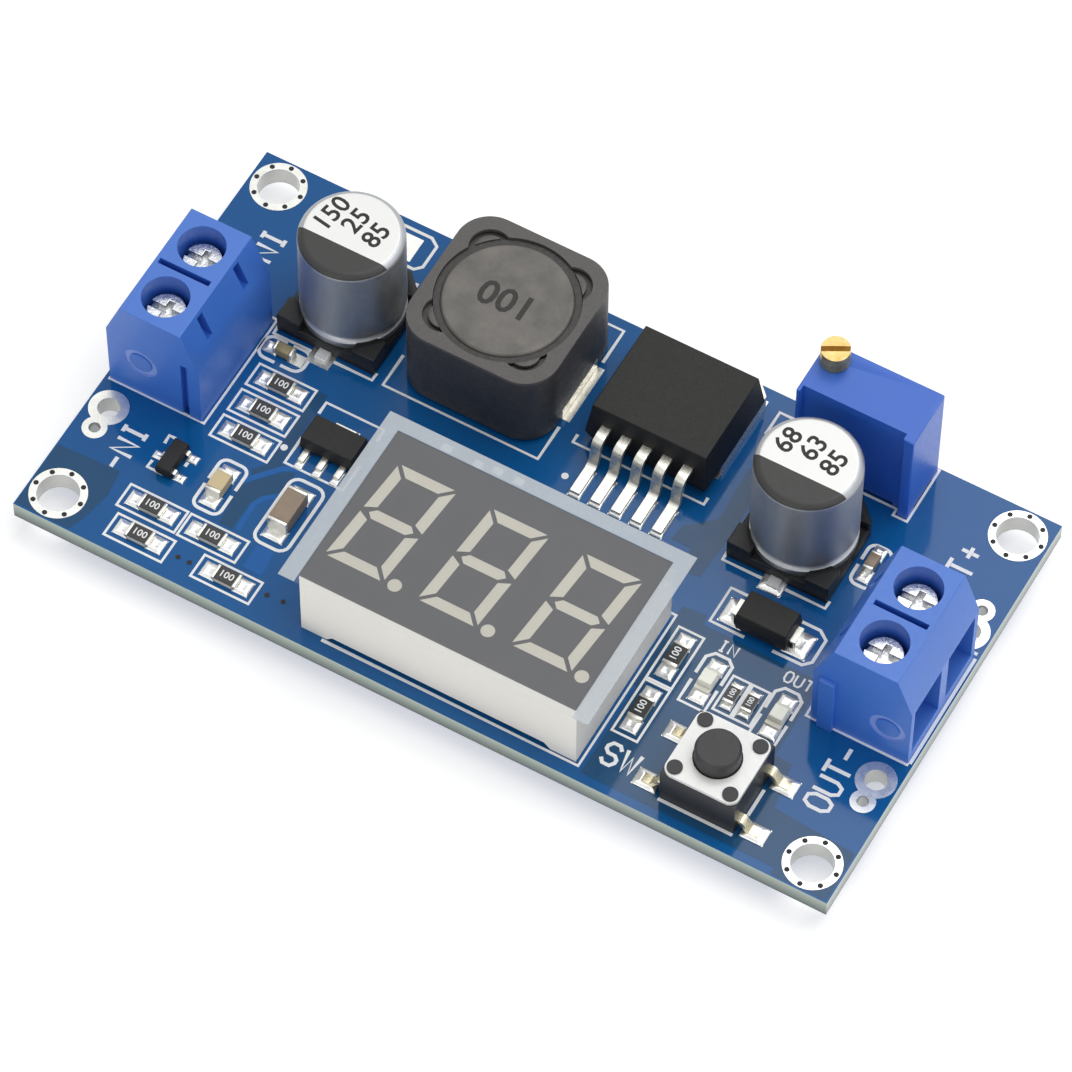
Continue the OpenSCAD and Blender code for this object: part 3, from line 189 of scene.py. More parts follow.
def paint(parts, mask, colour):
    """Lay a second colour over a surface where a mask is 1."""
    over = colour if isinstance(colour, bpy.types.NodeSocket) else linear(colour)
    under = parts["tint"].outputs["Color"]
    mixed = add_node(parts["tree"], "ShaderNodeMixRGB", {"Fac": mask, "Color1": under, "Color2": over})
    parts["tree"].links.new(mixed.outputs["Color"], parts["shader"].inputs["Base Color"])
    parts["tint"] = mixed


def between(tree, mask, length, low, high):
    """A mask narrowed to where a length is between two values in mm."""
    for operation, limit in (("GREATER_THAN", low), ("LESS_THAN", high)):
        holds = add_node(tree, "ShaderNodeMath", {0: length, 1: limit * MM}, operation=operation)
        both = add_node(tree, "ShaderNodeMath", {0: mask, 1: holds.outputs[0]}, operation="MULTIPLY")
        mask = both.outputs[0]
    return mask


def inside(parts, *limits):
    """A mask that is 1 where each limit holds: a direction, and the least and greatest mm along it."""
    tree = parts["tree"]
    mask = 1.0
    for direction, low, high in limits:
        far = add_node(tree, "ShaderNodeVectorMath", {0: parts["place"], 1: direction},
                       operation="DOT_PRODUCT").outputs["Value"]
        mask = between(tree, mask, far, low, high)
    return mask


print("masks reach", far_off, "mm from the board's middle")

# %% [markdown]
# The board is glass-epoxy laminate with a glossy blue lacquer on both faces. It is smooth enough to
# mirror the studio light and the dark parts that stand on it. The routed edge shows the pale laminate,
# with painted shade that darkens it towards the underside, and the drilled holes are plated with tin. One
# material tells these apart by height and place.

# %% Blue lacquer on laminate
skin = 0.02
half_l = board_high.x / MM
half_w = board_high.y / MM
thickness = board_top / MM
lacquer = {"roughness": (0.07, 0.12), "bump": 0.002, "IOR": 1.5, "Specular_IOR_Level": 0.33}
material, parts = surface("blue_lacquer_on_glass_epoxy", ("0a5694", "1060a1"), (9.0, 1.5), **lacquer)
tree = parts["tree"]
wall = inside(parts, (Z, skin, thickness - skin))
plated = inside(parts, (Z, skin, thickness - skin), (X, skin - half_l, half_l - skin),
                (Y, skin - half_w, half_w - skin))
# Painted shade: the routed edge is painted darker towards the underside
height = add_node(tree, "ShaderNodeSeparateXYZ", {"Vector": parts["place"]}).outputs["Z"]
depth = add_node(tree, "ShaderNodeMapRange", {"Value": height, "From Max": board_top}).outputs["Result"]
edge_tint_and_painted_shade = add_node(tree, "ShaderNodeMixRGB", {
    "Fac": depth, "Color1": linear("565f5e"), "Color2": linear("b4c4b8")})
paint(parts, wall, edge_tint_and_painted_shade.outputs["Color"])
paint(parts, plated, "c2c2bd")
tree.links.new(plated, parts["shader"].inputs["Metallic"])
finish["board"] = material
print("board finish:", material.name)

# %% [markdown]
# Where the copper below the lacquer was etched away, the laminate shows through and the blue is darker
# and greyer. Narrow tracks of copper cross these fields as brighter lines.

# %% Lacquer on bare laminate and on narrow tracks
finish["bare"], _ = surface("blue_lacquer_on_bare_laminate", ("194a73", "1f527c"), (5.0, 1.5), **lacquer)
finish["track"], _ = surface("blue_lacquer_on_copper_track", ("105eaa", "1768b3"), (3.0, 1.5), **lacquer)
print("lacquer over copper, laminate and tracks: 3 blues")

# %% [markdown]
# The plated lands are tinned copper, levelled by hot air: a bright, slightly uneven metal. Solder has
# the same metal in rounder, shinier forms. The contacts are tinned brass, the screws zinc-plated steel
# that was tumbled and is a little rough.

# %% Plated metals
METALS = {
    # Levelled by a jet of hot air: bright, a little wavy
    "tin": ("hot_air_levelled_tin", ("cdcdc8", "e6e6e2"), (1.5, 0.6), (0.24, 0.32), 0.002, 1.0),
    # Frozen from a liquid: the brightest metal on the board
    "solder": ("soft_solder", ("dcdddb", "f5f5f3"), (0.8, 0.4), (0.2, 0.34), 0.005, 0.75),
    # Rolled strip under thin tin: a warm grey
    "contact": ("tinned_brass_strip", ("a79a72", "c2b995"), (1.5, 0.3), (0.3, 0.45), 0.006, 1.0),
    # Tumbled after plating: many small bright dents
    "screw": ("zinc_plated_steel", ("bdbfc2", "f0f0ee"), (0.35, 0.2), (0.18, 0.36), 0.03, 1.0),
    # Dull tin over copper strip: soft, pale shine
    "lead": ("matt_tinned_copper", ("d2d0c6", "e8e6dc"), (1.0, 0.2), (0.24, 0.38), 0.004, 0.9),
    # Wetted all over by solder, which dried frosty: pale and only half a mirror
    "can_lead": ("frosted_solder_on_strip", ("e4e4df", "fafaf7"), (0.6, 0.3), (0.3, 0.45), 0.006, 0.3),
    # Dipped by hand: solder in patches, brass and flux between them
    "clip": ("solder_dipped_clip", ("6f6440", "f4efdf"), (0.45, 0.25), (0.2, 0.42), 0.03, 1.0),
    # Thin silver over brass: golden in its folds
    "switch_lead": ("silver_plated_brass", ("c9bd92", "ece6cf"), (0.9, 0.2), (0.2, 0.34), 0.006, 0.9),
    # Frosted under its plating: almost white
    "cover": ("frosted_nickel_plated_steel", ("dededb", "e9e9e7"), (2.0, 0.3), (0.34, 0.46), 0.003, 0.25),
    # Cut on a lathe: yellow, darker where it is worn
    "brass": ("turned_brass", ("a8823a", "e6cf92"), (0.6, 0.25), (0.28, 0.44), 0.01, 0.9),
}
for kind, (name, colours, patch, roughness, bump, metallic) in METALS.items():
    finish[kind], _ = surface(name, colours, patch, roughness, bump, Metallic=metallic)
print("metals:", len(METALS))

# %% [markdown]
# The mouldings are plastics. The terminals and the trimmer are blue nylon and polyester with a fine
# eroded skin that is satin rather than shiny, the power parts black epoxy with a dull sandy skin, and the
# display a white polycarbonate shell with a printed grey face.

# %% Moulded plastics
PLASTICS = {
    # Fine eroded tool skin: satin, clear blue
    "trimmer": ("blue_polyester_moulding", ("2a62c8", "3069d0"), (4.0, 0.3), (0.32, 0.42), 0.001, 1.56),
    # Filled with silica flour: sandy, deep grey rather than black
    "epoxy": ("black_epoxy_moulding", ("121210", "1b1a18"), (1.5, 0.14), (0.5, 0.65), 0.008, 1.42),
    # Stands the heat of soldering: dull and very dark
    "base": ("black_heat_resistant_moulding", ("0a0b0c", "111213"), (1.5, 0.2), (0.4, 0.55), 0.004, 1.45),
    # Warm white with a low gloss
    "shell": ("white_polycarbonate_moulding", ("efece3", "f7f4ed"), (5.0, 0.4), (0.35, 0.48), 0.002, 1.58),
    # Printed on the display's front: flat mid grey
    "face": ("grey_screen_ink", ("504e4f", "575556"), (3.0, 0.2), (0.55, 0.7), 0.002, 1.45),
    # Cast resin that spreads the light of a segment: milky, unlit
    "segment": ("milky_epoxy_resin", ("ccc6b7", "d8d3c6"), (2.0, 0.3), (0.35, 0.5), 0.002, 1.5),
    # Glass-filled: charcoal with a faint grain
    "switch": ("black_nylon_moulding", ("151619", "1f2023"), (1.2, 0.15), (0.38, 0.5), 0.005, 1.5),
    # Self-lubricating and greyer than the base
    "button": ("dark_acetal_moulding", ("2b2b2d", "343436"), (1.2, 0.15), (0.42, 0.55), 0.004, 1.48),
    # Set in a lumpy ring: patchy shine
    "glue": ("dark_epoxy_glue", ("1d1c1b", "343230"), (0.9, 0.3), (0.3, 0.55), 0.05, 1.5),
    # White so that no light is lost sideways
    "light_base": ("white_light_laminate", ("dcd9cd", "e8e5da"), (0.6, 0.1), (0.4, 0.5), 0.002, 1.5),
    # Water-clear over a white cup: bright, slightly green
    "lens": ("clear_light_epoxy", ("f0f1df", "f8f9ef"), (0.5, 0.1), (0.12, 0.2), 0.001, 1.5),
    # Pressed through a screen and cured: flat white
    "ink": ("white_screen_ink", ("f6f8f8", "fdfdfd"), (1.0, 0.2), (0.5, 0.65), 0.002, 1.45),
    # Stamped on: flat black
    "black_ink": ("black_stamping_ink", ("141414", "1e1e1d"), (0.6, 0.2), (0.5, 0.65), 0.001, 1.45),
    # Scorched into the skin: darker than the ferrite
    "burn": ("laser_burnt_ferrite", ("201f1e", "322f2d"), (0.5, 0.2), (0.5, 0.7), 0.001, 1.45),
    # Painted shade of a small deep hole: almost black
    "via": ("painted_shade_of_via", ("0b0d12", "17191f"), (0.4, 0.2), (0.5, 0.7), 0.001, 1.45),
}
for kind, (name, colours, patch, roughness, bump, ior) in PLASTICS.items():
    finish[kind], _ = surface(name, colours, patch, roughness, bump, IOR=ior)
print("plastics and inks:", len(PLASTICS))

# %% [markdown]
# The terminals are blue nylon. An ejector pin pushes each of them out of its mould at both ends and leaves
# a round, paler bruise. It is a ring of colour round a point on the end face, so a mask on the distance
# from that point draws it.

# %% Blue nylon with ejector marks
mark_depth = 0.2
front_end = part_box("input_terminal_housing")[0].y / MM + mark_depth
back_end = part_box("output_terminal_housing")[1].y / MM - mark_depth
mark_r = (0.95, 1.42)
material, parts = surface("blue_nylon_moulding", ("376fcd", "3d77d6"), (5.0, 0.3), (0.36, 0.46), 0.002,
                          IOR=1.65)
tree = parts["tree"]
flat = add_node(tree, "ShaderNodeVectorMath", {0: parts["place"], 1: (1, 0, 1)}, operation="MULTIPLY")
on_front = inside(parts, (Y, -far_off, front_end))
on_back = inside(parts, (Y, back_end, far_off))
for x, z, end in ((-30.3, 5.6, on_front), (31.3, 5.0, on_front),
                  (-31.3, 5.0, on_back), (30.3, 5.6, on_back)):
    away = add_node(tree, "ShaderNodeVectorMath", {0: flat.outputs[0], 1: (x * MM, 0, z * MM)},
                    operation="DISTANCE").outputs["Value"]
    paint(parts, between(tree, end, away, *mark_r), "86a3e9")
finish["terminal"] = material
print("terminal finish:", material.name)

# %% [markdown]
# Ferrite is a sintered ceramic. The shield keeps the dull skin of the press tool, and its top is painted
# paler, partly as rubbing wear and partly as painted light that falls from above. The drum's top is ground,
# so it is paler and mottled. The coil below is copper wire in amber enamel. A chip resistor is white alumina
# with a black glaze on its upper face. A chip capacitor is tan all through, and two of the four are of
# other mixes.

# %% Ferrite, enamelled wire and fired ceramics
OTHER_MIXES = [(((X, -22.4, -19.9), (Y, -11.7, -7)), "d3c08f"), (((X, -25, -21), (Y, 1.9, 4)), "94855a")]
pale_top_depth = 0.3
pale_top_share = 0.6
glaze_t = 0.1
material, parts = surface("pressed_ferrite", ("1a1817", "3a3735"), (0.7, 0.2), (0.42, 0.62), 0.025, IOR=1.6)
# Paler top of the shield: partly rubbing wear, partly painted light from above
worn_and_lit_top = inside(parts, (Z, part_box("inductor_shield")[1].z / MM - pale_top_depth, far_off))
wear_and_painted_light = add_node(parts["tree"], "ShaderNodeMath", {0: worn_and_lit_top, 1: pale_top_share}, operation="MULTIPLY")
paint(parts, wear_and_painted_light.outputs[0], "585552")
finish["ferrite"] = material
finish["disc"], _ = surface("ground_ferrite", ("34322f", "7d7973"), (1.8, 0.3), (0.42, 0.6), 0.015, IOR=1.6)
finish["wire"], _ = surface("enamelled_copper", ("6b2f12", "8a431c"), (1.0, 0.3), (0.25, 0.4), 0.02,
                            Metallic=0.6)
material, parts = surface("fired_barium_titanate", ("7c6852", "98836b"), (0.8, 0.2), (0.36, 0.5), 0.002,
                          IOR=1.7)
for place, colour in OTHER_MIXES:
    paint(parts, inside(parts, *place), colour)
finish["tan"] = material
material, parts = surface("glazed_chip_resistor", ("c9c6ba", "dbd8cd"), (0.6, 0.1), (0.3, 0.45), 0.004,
                          IOR=1.55)
glaze_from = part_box("resistor_bodies")[1].z / MM - glaze_t
paint(parts, inside(parts, (Z, glaze_from, far_off)), "171716")
finish["resistor"] = material
print("finishes so far:", len(finish))

# %% [markdown]
# A capacitor's can is drawn aluminium under a thin clear lacquer. Its flat top is painted pale and made
# to hardly mirror, a painted highlight of the light that falls on it, and a black half-moon printed on it
# marks the negative side and runs a little over the rounded edge. Both are fields of colour, so masks on
# the can's own coordinates draw them.

# %% Printed aluminium cans
moon_from_centre = 1.3
moon_wrap = 0.4
bright_top_metallic = 0.3


def middle_and_top(node):
    """A node's middle and the height of its top, in mm."""
    low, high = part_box(node)
    return (low + high) / 2 / MM, high.z / MM


for can in ("input", "output"):
    centre, top = middle_and_top(can + "_capacitor_can")
    material, parts = surface("drawn_aluminium_" + can, ("a4a7ab", "b2b5b8"), (3.0, 0.4), (0.46, 0.54),
                              0.002, Metallic=1.0)
    tree = parts["tree"]
    # Painted highlight: the top is painted pale and made less metallic, standing for the light that falls on
    # it
    painted_bright_top = inside(parts, (Z, top - skin, far_off))
    paint(parts, painted_bright_top, "e9e9e7")
    moon = inside(parts, (Y, -far_off, centre.y - moon_from_centre), (Z, top - moon_wrap, far_off))
    paint(parts, moon, "2f2e2d")
    shine = add_node(tree, "ShaderNodeMapRange", {"Value": painted_bright_top, "To Min": 1.0, "To Max": bright_top_metallic})
    metal = add_node(tree, "ShaderNodeMapRange", {
        "Value": moon, "To Min": shine.outputs["Result"], "To Max": 0.0})
    tree.links.new(metal.outputs["Result"], parts["shader"].inputs["Metallic"])
    finish[can + "_can"] = material
    print(can, "can top at", round(top, 2), "mm")

# %% [markdown]
# The display still has its peel-off film. It is nearly invisible where it lies on the face and its front
# rim, and milky where it stands out past the other edges and nothing presses it flat. Its alpha is set by
# place.

# %% Peel-off film
hazy, clear = 0.6, 0.06
face_low, face_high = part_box("display_face")
material, parts = surface("polyester_peel_film", ("cbd3d9", "d9e0e5"), (4.0, 1.0), (0.2, 0.32), 0.004,
                          IOR=1.5)
on_face = inside(parts, (X, face_low.x / MM, face_high.x / MM), (Y, -far_off, face_high.y / MM))
haze = add_node(parts["tree"], "ShaderNodeMapRange", {"Value": on_face, "To Min": hazy, "To Max": clear})
parts["tree"].links.new(haze.outputs["Result"], parts["shader"].inputs["Alpha"])
finish["film"] = material
print("all finishes:", len(finish))

# %% [markdown]
# Most shaping happens in edit mode. These helpers make one piece active, choose its edges or faces by a
# test on their place, and come back to object mode. Everything is deselected first, because an operator
# acts on all that is selected.

# %% Helpers for edit mode


def deselect():
    """Leave nothing selected."""
    bpy.ops.object.select_all(action="DESELECT")


def pick(piece):
    """Make one object the only selected one, and active."""
    deselect()
    piece.select_set(True)
    bpy.context.view_layer.objects.active = piece


def open_mesh(piece, kind):
    """Go into edit mode on a piece, choosing VERT, EDGE or FACE."""
    pick(piece)
    bpy.ops.object.mode_set(mode="EDIT")
    bpy.ops.mesh.select_mode(type=kind)


def choose(piece, kind, test):
    """In edit mode, select only the verts, edges or faces that pass the test."""
    mesh = bmesh.from_edit_mesh(piece.data)
    bpy.ops.mesh.select_all(action="DESELECT")
    chosen = [element for element in getattr(mesh, kind) if test(element)]
    for element in chosen:
        element.select_set(True)
    bmesh.update_edit_mesh(piece.data)
    return len(chosen)


def close_mesh():
    """Come back to object mode."""
    bpy.ops.object.mode_set(mode="OBJECT")


print("edit mode helpers ready for", len(nodes), "nodes")

# %% [markdown]
# What repeats is modelled once and copied, each copy with its own mesh. A shaped piece is shaded smooth
# up to an angle. Every new piece gets its material, and is told which body it moves with.

# %% Copying, shading and dressing


def add_object(name, data):
    """A new object in the scene."""
    thing = bpy.data.objects.new(name, data)
    bpy.context.scene.collection.objects.link(thing)
    return thing


def copy_of(piece, name):
    """A copy of an object with its own mesh."""
    return add_object(name, piece.data.copy())


def apply_modifier(piece, kind, **settings):
    """Add one modifier with its settings and apply it."""
    pick(piece)
    modifier = piece.modifiers.new(kind.lower(), kind)
    for name, value in settings.items():
        setattr(modifier, name, value)
    bpy.ops.object.modifier_apply(modifier=modifier.name)


def smooth(piece, degrees=32):
    """Shade smooth up to an angle, with large flat faces kept flat right up to their bevels."""
    pick(piece)
    bpy.ops.object.shade_smooth_by_angle(angle=math.radians(degrees))
    apply_modifier(piece, "WEIGHTED_NORMAL", keep_sharp=True, weight=90)


def dress(piece, kind, body="module"):
    """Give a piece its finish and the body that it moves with."""
    piece.data.materials.clear()
    piece.data.materials.append(finish[kind])
    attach(piece, body)


print("finishes to dress with:", len(finish))

# %% [markdown]
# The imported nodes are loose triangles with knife-sharp edges. On a real moulding every edge is a little
# round and catches a line of light. A copy of each node that shows is merged. Where its edges are eased,
# its flat faces are first dissolved into whole ones and its long outer edges then bevelled. The copy
# stands for the node.

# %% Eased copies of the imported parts
sharp = math.radians(40)
merge_distance = 0.001 * MM
flat_angle = math.radians(0.3)


def eased(node, kind, edge=0.0, shortest=0.5):
    """A merged copy of a node with its outer edges of at least shortest mm bevelled by edge mm."""
    piece = copy_of(nodes[node], node + "_finished")
    open_mesh(piece, "EDGE")
    bpy.ops.mesh.select_all(action="SELECT")
    bpy.ops.mesh.remove_doubles(threshold=merge_distance)
    count = 0
    if edge:
        bpy.ops.mesh.dissolve_limited(angle_limit=flat_angle)
        count = choose(piece, "edges", lambda e: len(e.link_faces) == 2 and e.is_convex
                       and e.calc_face_angle() > sharp and e.calc_length() > shortest * MM)
        bpy.ops.mesh.bevel(offset=edge * MM, segments=2, profile=0.5, clamp_overlap=True)
        bpy.ops.mesh.select_all(action="SELECT")
        bpy.ops.mesh.dissolve_degenerate(threshold=merge_distance)
    close_mesh()
    smooth(piece)
    dress(piece, kind, nodes[node]["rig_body"])
    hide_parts(node)
    print(node, "edges eased:", count, "faces:", len(piece.data.polygons))
    return piece


# %% [markdown]
# The two terminals are one moulding used twice. Its outer edges are generously round. The screws and the
# bent contacts inside are sheet and bar metal with a much smaller edge.

# %% Terminals and capacitors
for end in ("input", "output"):
    eased(end + "_terminal_housing", "terminal", 0.13, 0.7)
    eased(end + "_terminal_contacts", "contact", 0.05, 0.5)
    eased(end + "_capacitor_base", "base", 0.08, 0.4)
    eased(end + "_capacitor_leads", "can_lead", 0.04, 0.2)
    for sign in ("positive", "negative"):
        eased(end + "_" + sign + "_screw", "screw", 0.05, 0.1)
        eased(end + "_" + sign + "_guard", "contact", 0.05, 0.3)

# %% [markdown]
# The inductor, the regulator and the rectifier are the heavy parts. The ferrite shield chips easily, so
# the press leaves its edges well rounded, and epoxy packages come out of the mould with crisp ones.

# %% Power parts
eased("inductor_shield", "ferrite", 0.25, 0.1)
eased("inductor_core", "disc", 0.08, 0.1)
eased("inductor_winding", "wire")
eased("inductor_adhesive", "glue")
eased("inductor_clips", "clip", 0.06, 0.2)
eased("regulator_body", "epoxy", 0.08, 0.5)
eased("regulator_tab", "lead", 0.06, 0.5)
eased("regulator_leads", "lead", 0.04, 0.3)
eased("diode_body", "epoxy", 0.06, 0.3)
eased("diode_leads", "lead", 0.03, 0.2)

# %% [markdown]
# Trimmer, display and switch are what a hand or an eye uses. The film lies flat on the display's face
# in the imported model. Here its lower side is lifted by a hair, as on the real film, which never touches
# all over, so the renderer can tell the two surfaces apart. The switch's contact dome is thin spring
# steel that stands on its rim and flattens under the button on the real switch; here it keeps its imported
# shape and gets a mesh of its own.

# %% Setting and display
# Least Z of a normal that counts as facing up
FACING = 0.9
film_lift = 0.03
eased("trimmer_body", "trimmer", 0.12, 0.6)
eased("trimmer_screw", "brass", 0.06, 0.1)
eased("display_housing", "shell", 0.1, 0.5)
film = eased("display_film", "film")
open_mesh(film, "FACE")
choose(film, "faces", lambda f: f.normal.z < -FACING)
bpy.ops.transform.translate(value=(0, 0, film_lift * MM))
close_mesh()
eased("switch_base", "switch", 0.06, 0.4)
eased("switch_cover", "cover", 0.04, 0.2)
eased("switch_button", "button", 0.08, 0.1)
eased("switch_leads", "switch_lead", 0.03, 0.2)
spring = eased("switch_dome", "screw")
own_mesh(spring)

# %% [markdown]
# The small parts are cut or moulded in strips and are the sharpest of all, so their edges are eased by
# only a few hundredths of a millimetre.

# %% Small parts
eased("supply_regulator_body", "epoxy", 0.05, 0.3)
eased("supply_regulator_leads", "lead", 0.03, 0.2)
eased("transistor_body", "epoxy", 0.04, 0.3)
eased("transistor_leads", "lead")
eased("chip_capacitor_bodies", "tan", 0.05, 0.3)
eased("chip_capacitor_ends", "lead", 0.05, 0.2)
eased("resistor_bodies", "resistor")
eased("resistor_ends", "lead", 0.04, 0.2)
eased("indicator_light_bases", "light_base", 0.03, 0.3)
eased("indicator_light_lenses", "lens", 0.05, 0.3)
eased("pin_solder", "solder")

# %% [markdown]
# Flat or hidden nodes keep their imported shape. They only change material.

# %% Finishes for the nodes that stay
KEPT = {
    "circuit_board": "board", "mounting_lands": "tin", "wire_lands": "tin", "solder_lands": "tin",
    "trimmer_pins": "lead", "display_face": "face", "display_segments": "segment",
    "display_pins": "lead", "meter_chip_body": "epoxy", "meter_chip_leads": "lead",
}
for node, kind in KEPT.items():
    nodes[node].data.materials.clear()
    nodes[node].data.materials.append(finish[kind])
print("kept nodes:", len(KEPT))

# %% [markdown]
# A capacitor's can is drawn round, rolled in at the foot, crimped onto its rubber plug by a bead, and has
# a softly rounded top edge. A lathe would make it from one profile. Here a disc is extruded ring by ring
# up such a profile and each ring drawn in or out to its radius, with many more steps than the solid has.
# Extruding leaves points and faces in no fixed order, so they are sorted, and every run gives the same mesh.

# %% Turned cans
can_sides = 96
can_smooth = 50
foot_r = 0.25
foot_steps = 5
bead_z = 1.3
bead_r = 0.45
bead_depth = 0.3
bead_steps = 10
top_edge_r = 0.6
top_edge_steps = 8


def arc(centre, radius, first, last, steps):
    """Points on an arc, as pairs of (radius, height) or (x, y)."""
    turns = [math.radians(first + (last - first) * i / steps) for i in range(steps + 1)]
    return [(centre[0] + radius * math.cos(a), centre[1] + radius * math.sin(a)) for a in turns]


def extrude_up(rise, scale):
    """In edit mode, extrude what is selected upwards and scale it about the Z axis."""
    bpy.ops.mesh.extrude_region_move(TRANSFORM_OT_translate={"value": (0, 0, rise)})
    bpy.ops.transform.resize(value=(scale, scale, 1), center_override=(0, 0, 0))


def in_order(piece):
    """In edit mode, sort verts and faces by place, because an extrusion leaves them in no fixed order."""
    mesh = bmesh.from_edit_mesh(piece.data)
    rank = {vert: i for i, vert in enumerate(sorted(mesh.verts, key=lambda v: tuple(v.co)))}
    corners = {face: sorted(rank[vert] for vert in face.verts) for face in mesh.faces}
    turn = {face: i for i, face in enumerate(sorted(mesh.faces, key=corners.get))}
    mesh.verts.sort(key=rank.get)
    mesh.faces.sort(key=turn.get)
    bmesh.update_edit_mesh(piece.data)


def turned(name, profile):
    """A closed solid turned about Z, from (radius, height) pairs in mm that start at the foot."""
    deselect()
    bpy.ops.mesh.primitive_circle_add(vertices=can_sides, radius=profile[0][0] * MM, fill_type="NGON")
    piece = bpy.context.object
    piece.name = name
    open_mesh(piece, "FACE")
    bpy.ops.mesh.select_all(action="SELECT")
    for (radius, height), (next_radius, next_height) in zip(profile, profile[1:]):
        extrude_up((next_height - height) * MM, next_radius / radius)
    in_order(piece)
    bpy.ops.mesh.select_all(action="SELECT")
    bpy.ops.mesh.normals_make_consistent(inside=False)
    close_mesh()
    return piece


def settle(piece):
    """Put a piece's place into its mesh, so that its object sits unturned at the origin."""
    pick(piece)
    bpy.ops.object.transform_apply(location=True, rotation=True, scale=True)


bead_angle = math.degrees(math.acos(1 - bead_depth / bead_r))
for can in ("input", "output"):
    low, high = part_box(can + "_capacitor_can")
    can_r = (high.x - low.x) / 2 / MM
    wall_h = (high.z - low.z) / MM
    bead_x = can_r + bead_r - bead_depth
    profile = arc((can_r - foot_r, foot_r), foot_r, -90, 0, foot_steps)
    profile += arc((bead_x, bead_z), bead_r, 180 + bead_angle, 180 - bead_angle, bead_steps)
    profile += arc((can_r - top_edge_r, wall_h - top_edge_r), top_edge_r, 0, 90, top_edge_steps)
    piece = turned(can + "_can_turned", profile)
    piece.location = ((low.x + high.x) / 2, (low.y + high.y) / 2, low.z)
    settle(piece)
    smooth(piece, can_smooth)
    dress(piece, can + "_can", "module")
    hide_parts(can + "_capacitor_can")
    print(piece.name, "rings:", len(profile), "height:", round(wall_h, 2), "mm")

# %% [markdown]
# Solder wets a whole land and stands on it as a low dome with round corners. One dome is modelled from a
# cube of side 1: its upright edges are rounded, its top is pushed down and then extruded and drawn in a
# few times.

# %% One dome of solder
corner_r = 0.12
dome_wall = 0.35
dome_smooth = 60
DOME = [(0.05, 0.3), (0.08, 0.18), (0.1, 0.1), (0.1, 0.07)]
deselect()
bpy.ops.mesh.primitive_cube_add(size=1, location=(0, 0, 0.5))
dome = bpy.context.object
settle(dome)
open_mesh(dome, "EDGE")
choose(dome, "edges", lambda e: abs(e.verts[0].co.z - e.verts[1].co.z) > 0.5)
bpy.ops.mesh.bevel(offset=corner_r, segments=4, profile=0.5)
bpy.ops.mesh.select_mode(type="FACE")
choose(dome, "faces", lambda f: f.normal.z > FACING)
bpy.ops.transform.translate(value=(0, 0, dome_wall - 1))
width = 1
for draw_in, rise in DOME:
    extrude_up(rise, 1 - 2 * draw_in / width)
    width -= 2 * draw_in
in_order(dome)
close_mesh()
smooth(dome, dome_smooth)
print("dome faces:", len(dome.data.polygons))

# %% [markdown]
# The lands are one node of many solids, so the box of each solid is found first. Every small land on the
# upper face that carries a part gets a copy of the dome, scaled to its box. The spare pair stays bare.

# %% Solder on the lands
largest_land = 3.2
solder_height = 0.14
spare_at = Vector((-21.0, 15.75, 0)) * MM
spare_reach = 3.5 * MM


def islands(mesh):
    """Boxes of the separate solids in a mesh of loose triangles."""
    work = bmesh.new()
    work.from_mesh(mesh)
    bmesh.ops.remove_doubles(work, verts=work.verts, dist=merge_distance)
    left = set(work.verts)
    boxes = []
    while left:
        group, edge = set(), {left.pop()}
        while edge:
            group |= edge
            edge = {e.other_vert(v) for v in edge for e in v.link_edges} - group
        left -= group
        axes = list(zip(*(v.co for v in group)))
        boxes.append((Vector([min(a) for a in axes]), Vector([max(a) for a in axes])))
    work.free()
    return sorted(boxes, key=lambda b: tuple(b[0]))


def join(pieces, name):
    """Join several pieces into one."""
    deselect()
    for piece in pieces:
        piece.select_set(True)
    bpy.context.view_layer.objects.active = pieces[0]
    if len(pieces) > 1:
        bpy.ops.object.join()
    pieces[0].name = name
    settle(pieces[0])
    return pieces[0]


domes = []
for corner, far in islands(nodes["solder_lands"].data):
    size = far - corner
    centre = (corner + far) / 2
    spare = (centre - spare_at).xy.length < spare_reach
    if far.z < board_top or max(size.x, size.y) > largest_land * MM or spare:
        continue
    copy = copy_of(dome, "solder")
    copy.data.transform(Matrix.Translation((centre.x, centre.y, far.z))
                        @ Matrix.Diagonal((size.x, size.y, solder_height * MM, 1)))
    domes.append(copy)
bpy.data.objects.remove(dome)
dress(join(domes, "land_solder"), "solder", "module")
print("solder domes:", len(domes))

# %% [markdown]
# Copper below the lacquer and ink on it are flat shapes a few hundredths of a millimetre thick. A field is
# a filled flat curve with a little extrusion. Lines are strips along polylines: one curve with a flat
# rectangle as its bevel shape, so that corners are mitred. Both are then made meshes.

# %% Flat shapes from curves


def add_line(curve, points, z, closed):
    """Add a straight-sided line through points in mm to a curve."""
    spline = curve.splines.new("POLY")
    spline.points.add(len(points) - 1)
    for point, (x, y) in zip(spline.points, points):
        point.co = (x * MM, y * MM, z, 1)
    spline.use_cyclic_u = closed


def curve_to_mesh(piece, name):
    """Make a curve or a text a mesh of flat faces at its place."""
    pick(piece)
    bpy.ops.object.convert(target="MESH")
    bpy.ops.object.shade_flat()
    piece.name = name
    settle(piece)
    return piece


def flat_field(name, shapes, height):
    """One mesh of filled closed outlines in mm that stands on the board."""
    deselect()
    bpy.ops.curve.primitive_nurbs_path_add()
    field = bpy.context.object
    field.data.splines.clear()
    field.data.dimensions = "2D"
    field.data.fill_mode = "BOTH"
    field.data.extrude = height / 2 * MM
    for shape in shapes:
        add_line(field.data, shape, 0, True)
    field.location = (0, 0, board_top + height / 2 * MM)
    return curve_to_mesh(field, name)


